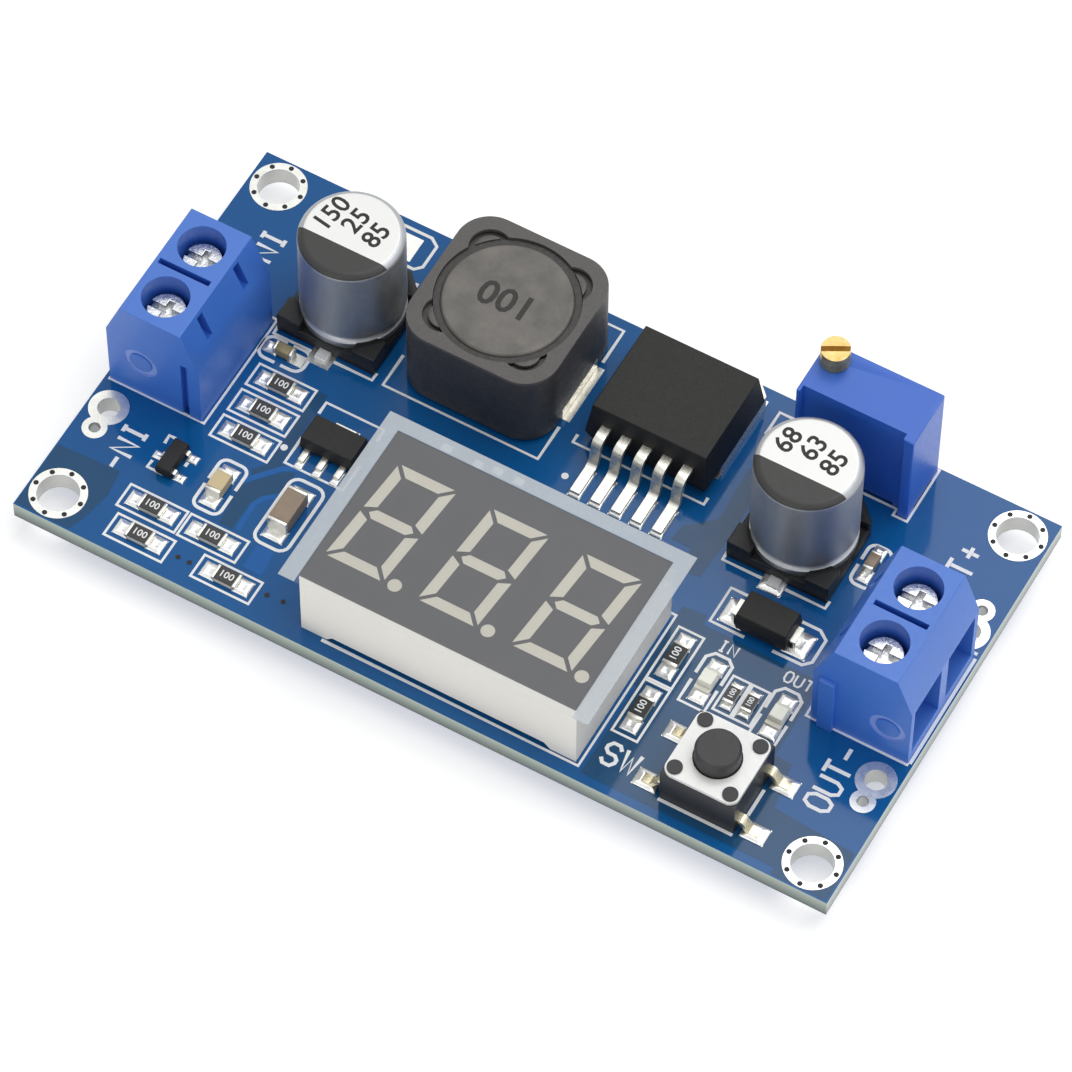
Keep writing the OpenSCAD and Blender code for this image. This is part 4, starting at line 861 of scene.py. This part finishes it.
def flat_strips(name, lines, width, height):
    """One mesh of flat strips along polylines in mm that stands on the board."""
    deselect()
    bpy.ops.curve.primitive_bezier_circle_add(radius=1)
    section = bpy.context.object
    section.data.dimensions = "2D"
    section.data.splines.clear()
    corners = [(x * width / 2, y * height / 2) for x, y in ((-1, -1), (1, -1), (1, 1), (-1, 1))]
    add_line(section.data, corners, 0, True)
    bpy.ops.curve.primitive_nurbs_path_add()
    path = bpy.context.object
    path.data.splines.clear()
    path.data.twist_mode = "Z_UP"
    path.data.bevel_mode = "OBJECT"
    path.data.bevel_object = section
    path.data.use_fill_caps = True
    for line in lines:
        closed = line[0] == line[-1]
        points = line[:-1] if closed else line
        add_line(path.data, points, board_top + height / 2 * MM, closed)
    curve_to_mesh(path, name)
    bpy.data.objects.remove(section)
    return path


print("flat shapes stand at", round(board_top / MM, 2), "mm")

# %% [markdown]
# Fields of bare laminate and the tracks that cross them lie below the lacquer, so they only show as a
# change of blue. Two fields reach round a mounting hole. The hole's land is one more closed outline in
# them, because an outline inside another is cut out of it.

# %% Copper and laminate below the lacquer
field_t = 0.01
track_t = 0.014
track_w = 0.45


def ring(centre, radius, sides):
    """Points all round a circle."""
    return arc(centre, radius, 0, 360 - 360 / sides, sides - 1)


mount_pitch = (62.2, 31.3)
mount_at = (mount_pitch[0] / 2, mount_pitch[1] / 2)
round_mount_r = 2.1
gap_sides = 36
mount_gaps = [ring((x, -mount_at[1]), round_mount_r, gap_sides) for x in (-mount_at[0], mount_at[0])]
bare = flat_field("bare_laminate_fields", mount_gaps + [
    [(-33.4, -12), (-28.2, -11.8), (-27.9, -14), (-28.4, -16.6), (-28.9, -17.85), (-33.4, -17.85)],
    [(-20, -8.4), (-17.9, -6), (-17, -5.5), (-17.1, -7.5), (-18.2, -8.6), (-18.6, -9.5), (-18.6, -12),
     (-19.7, -12)],
    [(-19.3, -6), (-19.3, 1.4), (-18.4, 1.4), (-18.4, -5.4), (-17.7, -5.4), (-19.6, -7.5), (-20, -6.9)],
    [(9.4, 3), (9.6, 4.4), (11.6, 6.2), (11.4, 11.2), (12.9, 11.2), (13, 5.4), (12.8, 1.2), (11.8, 1),
     (11, 3)],
    [(12.9, -1.6), (14.8, -1.4), (15, -2.2), (24.6, -2.3), (24.6, -9.2), (26, -9.3), (26.6, -13),
     (33.35, -13.5), (33.35, -17.85), (28.9, -17.85), (28.9, -17.3), (13.3, -17.3), (13.3, -9.2),
     (12.9, -9.2)],
], field_t)
dress(bare, "bare")
patch_corners = [(-16.3, -14.4), (-16.3, -12.3), (-14.9, -12.2), (-14.7, -14.4)]
dress(flat_field("copper_patch", [patch_corners], track_t), "track")
tracks = flat_strips("copper_tracks", [
    [(-20, -8.1), (-19.3, -7.2), (-18.1, -5.8), (-17.2, -5.2)],
    [(-18.2, -11.9), (-18.3, -9.4), (-18, -8.7), (-17.2, -8)],
], track_w, track_t)
dress(tracks, "track")
print("fields:", len(bare.data.polygons), "faces, tracks:", len(tracks.data.polygons), "faces")

# %% [markdown]
# The white marks are screen-printed ink a few hundredths of a millimetre thick. Outlines show where each
# part sits: open brackets where leads come out, closed boxes round chip resistors, rounded ones round
# chip capacitors. They are strips along polylines like the tracks, and stand a little higher.

# %% Shapes of the outlines
ink_w = 0.26
ink_t = 0.03


def box_line(x0, y0, x1, y1):
    """Closed rectangle as a polyline."""
    return [(x0, y0), (x1, y0), (x1, y1), (x0, y1), (x0, y0)]


def round_line(x0, y0, x1, y1, radius, gap):
    """Rounded rectangle that is longer along Y, as one closed polyline or two with gaps between them."""
    left, right = x0 + radius, x1 - radius
    back = arc((right, y1 - radius), radius, 0, 90, 4) + arc((left, y1 - radius), radius, 90, 180, 4)
    front = arc((left, y0 + radius), radius, 180, 270, 4) + arc((right, y0 + radius), radius, 270, 360, 4)
    if not gap:
        return [back + front + back[:1]]
    middle = (y0 + y1) / 2
    high, low = middle + gap / 2, middle - gap / 2
    return [[(x1, high)] + back + [(x0, high)], [(x0, low)] + front + [(x1, low)]]


print("ink lines:", ink_w, "mm wide")

# %% [markdown]
# The outlines follow the real board's: where a line is hidden under a part, or was never printed, it stops.

# %% Outlines of the larger parts
can_line_half = 4.2
can_line_front = 4.55
can_line_side = 0.7
can_lead_half = 0.95
outlines = [
    # Screw terminals: inner and front lines, and the line along the output end
    [(-33.2, -5.2), (-25.05, -5.2), (-25.05, 5.3), (-33.2, 5.3)],
    [(33.2, -5.25), (24.95, -5.25), (24.95, 5.3), (33.2, 5.3)],
    [(33.25, 4.9), (33.25, -5.1)],
]
# Capacitors: front lines with a gap at the lead, and short side lines
for can in ("input", "output"):
    middle, _ = middle_and_top(can + "_capacitor_base")
    front = middle.y - can_line_front
    for side in (-1, 1):
        far, near = middle.x + side * can_line_half, middle.x + side * can_lead_half
        outlines.append([(far, front + can_line_side), (far, front), (near, front)])
outlines += [
    # Unused footprint behind the input capacitor
    [(-21.4, 17.3), (-18.8, 17.3), (-18.1, 16.8), (-18.1, 14.7), (-18.6, 14.2), (-19.2, 14.2)],
    # Inductor, open at its clips
    [(-15.4, 7.2), (-15.4, 4.2), (-2.35, 4.2), (-2.35, 7.4)],
    [(-15.4, 13.9), (-15.4, 17.1), (-2.35, 17.1), (-2.35, 13.9)],
    # Regulator, trimmer and display
    [(-0.85, 7.5), (-0.85, 6.75), (10.05, 6.75), (10.05, 7.4)],
    [(14.4, 13.35), (22.4, 13.35), (22.4, 12.75), (23.55, 12.75), (23.55, 17.85), (13.65, 17.85)],
    [(11.05, 14.3), (11.05, 16.5), (12.6, 16.5)],
    [(-8.2, -16.9), (12.9, -16.9), (12.9, -2.5), (-10.3, -2.5)],
    # Rectifier: two brackets, chamfered at its marked end
    [(16.6, 1.5), (15.2, 1.5), (15.2, -1.7), (18.0, -1.7)],
    [(20.9, 1.5), (22.5, 1.5), (23.25, 0.95), (23.25, -1.15), (22.7, -1.7), (20.3, -1.7)],
    # Supply regulator and signal transistor
    [(-18.2, -0.3), (-18.2, 0.8), (-13.3, 0.8), (-13.3, -0.3)],
    [(-18.2, -2.7), (-18.2, -5.2), (-13.3, -5.2), (-13.3, -2.7)],
    [(-26.65, -8.1), (-26.7, -7.35), (-26.15, -7.35)],
    [(-26.65, -9.8), (-26.7, -10.47), (-25.36, -10.47)],
    [(-24.32, -9.1), (-24.32, -8.7)],
]
print("outlines of the larger parts:", len(outlines))

# %% [markdown]
# The switch has lines between its leads, each chip resistor a box, each chip capacitor a rounded one and
# each light two brackets. All the lines become one mesh, apart from a broader one between two resistors.

# %% Outlines of the small parts
switch_line_gap = 0.15
switch_side_gap = 0.2
switch_lead_room = 1.8
divider_w = 0.38
# Switch: a line in front of it, behind it and between its leads
low, high = [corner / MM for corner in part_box("switch_base")]
for y in (low.y - switch_line_gap, high.y + switch_line_gap):
    outlines.append([(low.x, y), (high.x, y)])
for x in (low.x - switch_side_gap, high.x + switch_side_gap):
    outlines.append([(x, low.y + switch_lead_room), (x, high.y - switch_lead_room)])
# Chip resistors
long_side, short_side = 4.85, 2.05
along_x = [(-21.76, 0.31), (-21.76, -2.26), (-21.76, -4.83), (-24.5, -13.36), (-24.0, -15.97),
           (-19.37, -13.38), (-16.72, -15.9)]
along_y = [(14.55, -5.65), (14.55, -10.7)]
for places, w, h in ((along_x, long_side, short_side), (along_y, short_side, long_side)):
    outlines += [box_line(x - w / 2, y - h / 2, x + w / 2, y + h / 2) for x, y in places]
outlines.append(box_line(18.9, -8.05, 21.9, -4.9))
# Chip capacitors, the first one along X and so with X and Y swapped
outlines += [[(x, y) for y, x in line] for line in round_line(1.95, -24.95, 3.95, -21.2, 0.7, 0.5)]
outlines += round_line(-22.3, -11.65, -20.05, -7.05, 0.6, 0.5)
outlines += round_line(-17.0, -12.0, -14.2, -5.9, 0.75, 0)
outlines += round_line(22.2, 6.2, 24.05, 9.9, 0.6, 0.5)
# Indicator lights: a bracket in front and a rounded one behind
light_line = [[(-1.05, 0.3), (-1.05, 1.85), (-0.55, 2.4), (0.55, 2.4), (1.05, 1.95), (1.05, 0.2)],
              [(-1.05, -0.3), (-1.05, -2.3), (1.05, -2.3), (1.05, -0.3)]]
for x, y in ((17.45, -6.3), (23.15, -6.4)):
    outlines += [[(a + x, b + y) for a, b in line] for line in light_line]
lines = flat_strips("board_outlines", outlines, ink_w, ink_t)
dress(lines, "ink")
dress(flat_strips("pair_divider", [[(20.4, -7.95), (20.4, -5.0)]], divider_w, ink_t), "ink")
print("outlines:", len(outlines), "faces:", len(lines.data.polygons))

# %% [markdown]
# Solid dots and blocks of the same ink mark first pins and the row of holes behind the display, where
# they show milky through the film.

# %% Dots and blocks of ink
dot_d = 0.55
dot_sides = 20
block_x, block_y = 0.8, 0.6
blocks = [ring(place, dot_d / 2, dot_sides) for place in ((0.1, 3.9), (-18.9, -4.1))]
for x, y in ((-8.55, 1.75), (-5.85, 1.65), (-4.35, 1.85), (-2.55, 1.8)):
    blocks.append(box_line(x - block_x / 2, y - block_y / 2, x + block_x / 2, y + block_y / 2)[:-1])
blocks.append(box_line(-17.85, 12.75, -17.55, 13.25)[:-1])
dress(flat_field("ink_blocks", blocks, ink_t), "ink")
print("blocks of ink:", len(blocks))

# %% [markdown]
# The lettering is only what such a board needs: which end is the input and which the output, the two
# signs, and which part is the switch. It is drawn with single strokes, as a board designer's plotter
# font is, so each letter is a few polylines in a square of side 1.

# %% Plain marks on the board
GLYPHS = {
    "I": [[(-0.3, 0.5), (0.3, 0.5)], [(-0.3, -0.5), (0.3, -0.5)], [(0, -0.41), (0, 0.41)]],
    "N": [[(-0.5, -0.5), (-0.5, 0.5), (0.5, -0.5), (0.5, 0.5)]],
    "O": [[(-0.5, -0.25), (-0.5, 0.25), (-0.25, 0.5), (0.25, 0.5), (0.5, 0.25), (0.5, -0.25), (0.25, -0.5),
           (-0.25, -0.5), (-0.5, -0.25)]],
    "U": [[(-0.5, 0.5), (-0.5, -0.25), (-0.25, -0.5), (0.25, -0.5), (0.5, -0.25), (0.5, 0.5)]],
    "T": [[(-0.5, 0.5), (0.5, 0.5)], [(0, 0.41), (0, -0.5)]],
    "S": [[(0.5, 0.3), (0.25, 0.5), (-0.25, 0.5), (-0.5, 0.3), (-0.5, 0.15), (-0.25, 0), (0.25, 0),
           (0.5, -0.15), (0.5, -0.3), (0.25, -0.5), (-0.25, -0.5), (-0.5, -0.3)]],
    "W": [[(-0.5, 0.5), (-0.27, -0.5), (0, 0.25), (0.27, -0.5), (0.5, 0.5)]],
    "+": [[(-0.45, 0), (0.45, 0)], [(0, -0.35), (0, -0.09)], [(0, 0.09), (0, 0.35)]],
    "-": [[(-0.45, 0), (0.45, 0)]],
}


def lettering(text, first, height, width, pitch, turn):
    """Strokes of a word: the first letter's centre, letter size and pitch in mm, and a turn in degrees."""
    c, s = math.cos(math.radians(turn)), math.sin(math.radians(turn))
    strokes = []
    for i, letter in enumerate(text):
        for line in GLYPHS[letter]:
            flat = [(x * width + i * pitch, y * height) for x, y in line]
            strokes.append([(first[0] + x * c - y * s, first[1] + x * s + y * c) for x, y in flat])
    return strokes


stroke_w = 0.3
small_stroke_w = 0.16
MARKS = [
    ("IN-", (-29.0, -8.4), 1.75, 1.05, 1.45, -90),
    ("IN+", (-29.0, 11.4), 1.75, 1.05, 1.45, -90),
    ("OUT-", (29.1, -11.1), 1.9, 1.1, 1.5, 90),
    ("OUT+", (28.8, 8.0), 1.9, 1.1, 1.55, 90),
    ("SW", (14.5, -14.9), 1.8, 1.1, 1.5, 0),
]
SMALL_MARKS = [("IN", (17.1, -3.1), 0.9, 0.55, 0.8, 0), ("OUT", (22.4, -3.05), 0.9, 0.55, 0.8, 0)]
for name, marks, width in (("board_marks", MARKS, stroke_w), ("light_marks", SMALL_MARKS, small_stroke_w)):
    strokes = [stroke for mark in marks for stroke in lettering(*mark)]
    dress(flat_strips(name, strokes, width, ink_t), "ink")
    print(name, "strokes:", len(strokes))

# %% [markdown]
# Plain numbers stand on the parts that carry a value. They are text objects in the default face, made
# a mesh before their place is applied. Each lies on its part's top and is as thin as ink.

# %% Plain numbers on the parts
number_t = 0.01
CAN_NUMBER = {"size": 2.1, "turn": 80, "weight": 0.035}
CORE_NUMBER = {"size": 3.0, "turn": 180, "weight": 0.06}
chip_fill = 0.66
chip_weight = 0.01


def number(text, place, size, turn, weight):
    """One flat number in mm, centred at a place on top of its part, its strokes widened by weight."""
    deselect()
    bpy.ops.object.text_add()
    piece = bpy.context.object
    piece.data.body = text
    piece.data.size = size * MM
    piece.data.align_x = "CENTER"
    piece.data.align_y = "CENTER"
    piece.data.extrude = number_t / 2 * MM
    piece.data.offset = weight * MM
    piece.data.resolution_u = 3
    piece.rotation_euler = (0, 0, math.radians(turn))
    piece.location = Vector(place) * MM
    return curve_to_mesh(piece, "number")


stamped = []
rows = [(-2.1, 0.8), (-0.2, 1.1), (1.7, 0.7)]
for can, values in (("input", ("150", "25", "85")), ("output", ("68", "63", "85"))):
    middle, top = middle_and_top(can + "_capacitor_can")
    for value, (x, y) in zip(values, rows):
        stamped.append(number(value, (middle.x + x, middle.y + y, top), **CAN_NUMBER))
dress(join(stamped, "can_numbers"), "black_ink")
middle, top = middle_and_top("inductor_core")
burnt = number("100", (middle.x, middle.y, top), **CORE_NUMBER)
burnt.name = "inductor_number"
dress(burnt, "burn")
printed = []
for corner, far in islands(nodes["resistor_bodies"].data):
    middle = (corner + far) / 2 / MM
    size = (far - corner) / MM
    turn = 0 if size.x > size.y else 90
    place = (middle.x, middle.y, far.z / MM)
    printed.append(number("100", place, min(size.xy) * chip_fill, turn, chip_weight))
dress(join(printed, "resistor_numbers"), "ink")
print("numbers:", len(stamped) + 1 + len(printed))

# %% [markdown]
# Small plated-through holes pass currents between the board's two faces. In the lands of the mounting
# holes they show as a ring of dark dots, which are painted shade of the small deep holes. One shallow dish
# is modelled from a circle, extruded to a thin disc with a sunken top, and copied.

# %% Via dots
via_d = 0.4
via_sides = 16
via_dip = 0.006
via_rim = 0.03
land_t = 0.05
vias_round_mount = 8
mount_land_d = 4.35
mount_hole_d = 3.2
via_ring_r = (mount_land_d + mount_hole_d) / 4
spots = []
for sx in (-1, 1):
    for sy in (-1, 1):
        centre = (sx * mount_at[0], sy * mount_at[1])
        spots += [(x, y, land_t) for x, y in ring(centre, via_ring_r, vias_round_mount)]
spots += [(x, y, field_t) for x, y in ((-20.74, -16), (-19.79, -16), (-13.5, -15.6), (-12.2, -15.5))]
deselect()
bpy.ops.mesh.primitive_circle_add(vertices=via_sides, radius=via_d / 2 * MM, fill_type="NGON")
dish = bpy.context.object
open_mesh(dish, "FACE")
bpy.ops.mesh.select_all(action="SELECT")
bpy.ops.mesh.extrude_region_move(TRANSFORM_OT_translate={"value": (0, 0, 2 * via_dip * MM)})
bpy.ops.mesh.inset(thickness=via_rim * MM)
bpy.ops.transform.translate(value=(0, 0, -via_dip * MM))
in_order(dish)
bpy.ops.mesh.select_all(action="SELECT")
bpy.ops.mesh.normals_make_consistent(inside=False)
close_mesh()
copies = []
for x, y, z in spots:
    copy = copy_of(dish, "via")
    copy.data.transform(Matrix.Translation((x * MM, y * MM, board_top + z * MM)))
    copies.append(copy)
bpy.data.objects.remove(dish)
# The dark dishes over the holes are painted shade
dress(join(copies, "via_dots"), "via")
print("vias:", len(spots))

# %% [markdown]
# The camera stands where the photograph was taken from: high in front and a little to the output side,
# far away with a long lens. Its turn was worked out from the board's corners and holes.

# %% Camera
azimuth = math.radians(29.135)
elevation = math.radians(57.572)
roll = math.radians(0.497)
distance = 499.6 * MM
focal_px = 6893.6
picture_px = 1072
shift_px = (-1.31, -21.2)
back = Vector((math.sin(azimuth) * math.cos(elevation), -math.cos(azimuth) * math.cos(elevation),
               math.sin(elevation)))
right = Vector((math.cos(azimuth), math.sin(azimuth), 0))
up = back.cross(right)
rolled_right = right * math.cos(roll) + up * math.sin(roll)
rolled_up = up * math.cos(roll) - right * math.sin(roll)
eye = back * distance + Vector((0, 0, board_top))
turn = Matrix((rolled_right, rolled_up, back)).transposed().to_4x4()
lens = bpy.data.cameras.new("photo_camera")
lens.sensor_width = 36
lens.lens = focal_px * lens.sensor_width / picture_px
lens.shift_x, lens.shift_y = [shift / picture_px for shift in shift_px]
lens.clip_end = 10
camera = add_object("photo_camera", lens)
camera.matrix_world = Matrix.Translation(eye) @ turn
bpy.context.scene.camera = camera
print("lens:", round(lens.lens, 1), "mm, distance:", round(distance / MM), "mm")

# %% [markdown]
# The module lay on white paper under a large soft light behind it and to its right. The paper and the
# walls look white to the camera and in mirrors, but give less light than that to the parts. The floor keeps
# the shadow: only a part of its brightness is its own, and the rest is the light that falls on it.

# %% Floor


def seen_or_mirrored(tree):
    """1 for rays from the camera, from a mirror or through glass, and 0 for the light on the parts."""
    path = add_node(tree, "ShaderNodeLightPath").outputs
    seen = path["Is Camera Ray"]
    for kind in ("Is Glossy Ray", "Is Transmission Ray"):
        seen = add_node(tree, "ShaderNodeMath", {0: seen, 1: path[kind]}, operation="MAXIMUM").outputs[0]
    return seen


floor_own = 0.45
floor_bounce = 0.22
floor_gap = 0.02
floor_side = 3
paper_grey = 0.8
deselect()
bpy.ops.mesh.primitive_plane_add(size=floor_side, location=(0, 0, cad_low.z - floor_gap * MM))
floor = bpy.context.object
floor.name = "floor"
paper = bpy.data.materials.new("white_paper")
paper.use_nodes = True
tree = paper.node_tree
tree.nodes.clear()
seen = seen_or_mirrored(tree)
glow = add_node(tree, "ShaderNodeMapRange", {"Value": seen, "To Min": floor_bounce, "To Max": floor_own})
matt = add_node(tree, "ShaderNodeBsdfDiffuse", {"Color": (paper_grey, paper_grey, paper_grey, 1)})
shine = add_node(tree, "ShaderNodeEmission", {"Strength": glow.outputs["Result"]})
mixed = add_node(tree, "ShaderNodeAddShader", {0: matt.outputs[0], 1: shine.outputs[0]})
add_node(tree, "ShaderNodeOutputMaterial", {"Surface": mixed.outputs[0]})
floor.data.materials.append(paper)
floor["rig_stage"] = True
print("floor at", round(floor.location.z / MM, 2), "mm")

# %% [markdown]
# The walls of the studio are the world's background. One large soft lamp hangs behind the board and above
# it, and two weak ones fill the sides that it doesn't reach.

# %% World and lamps
wall_light = 0.4
world = bpy.data.worlds.new("studio")
bpy.context.scene.world = world
world.use_nodes = True
tree = world.node_tree
tree.nodes.clear()
seen = seen_or_mirrored(tree)
level = add_node(tree, "ShaderNodeMapRange", {"Value": seen, "To Min": wall_light, "To Max": 1.0})
sky = add_node(tree, "ShaderNodeBackground", {"Color": (1, 1, 1, 1), "Strength": level.outputs["Result"]})
add_node(tree, "ShaderNodeOutputWorld", {"Surface": sky.outputs[0]})


def lamp(name, place, size, power):
    """A square soft lamp that looks at the board's middle."""
    data = bpy.data.lights.new(name, "AREA")
    data.size = size
    data.energy = power
    thing = add_object(name, data)
    thing.location = place
    thing.rotation_euler = (-Vector(place)).to_track_quat("-Z", "Y").to_euler()


lamp("softbox", (0.1, 0.22, 0.62), 0.62, 2.35)
lamp("side_fill", (0.5, -0.1, 0.25), 0.3, 0.4)
lamp("front_fill", (-0.05, -0.5, 0.18), 0.3, 0.42)
bpy.context.scene.view_settings.view_transform = "Standard"
print("lamps:", [light.name for light in bpy.data.lights])

# %% [markdown]
# The finished model's box is measured at the end, and its size is printed. The finished model has to
# stay inside the imported one's box, apart from a small margin.

# %% Sizes
bpy.context.view_layer.update()
low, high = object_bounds()
print("box in mm:", [round(v / MM, 2) for v in high - low])
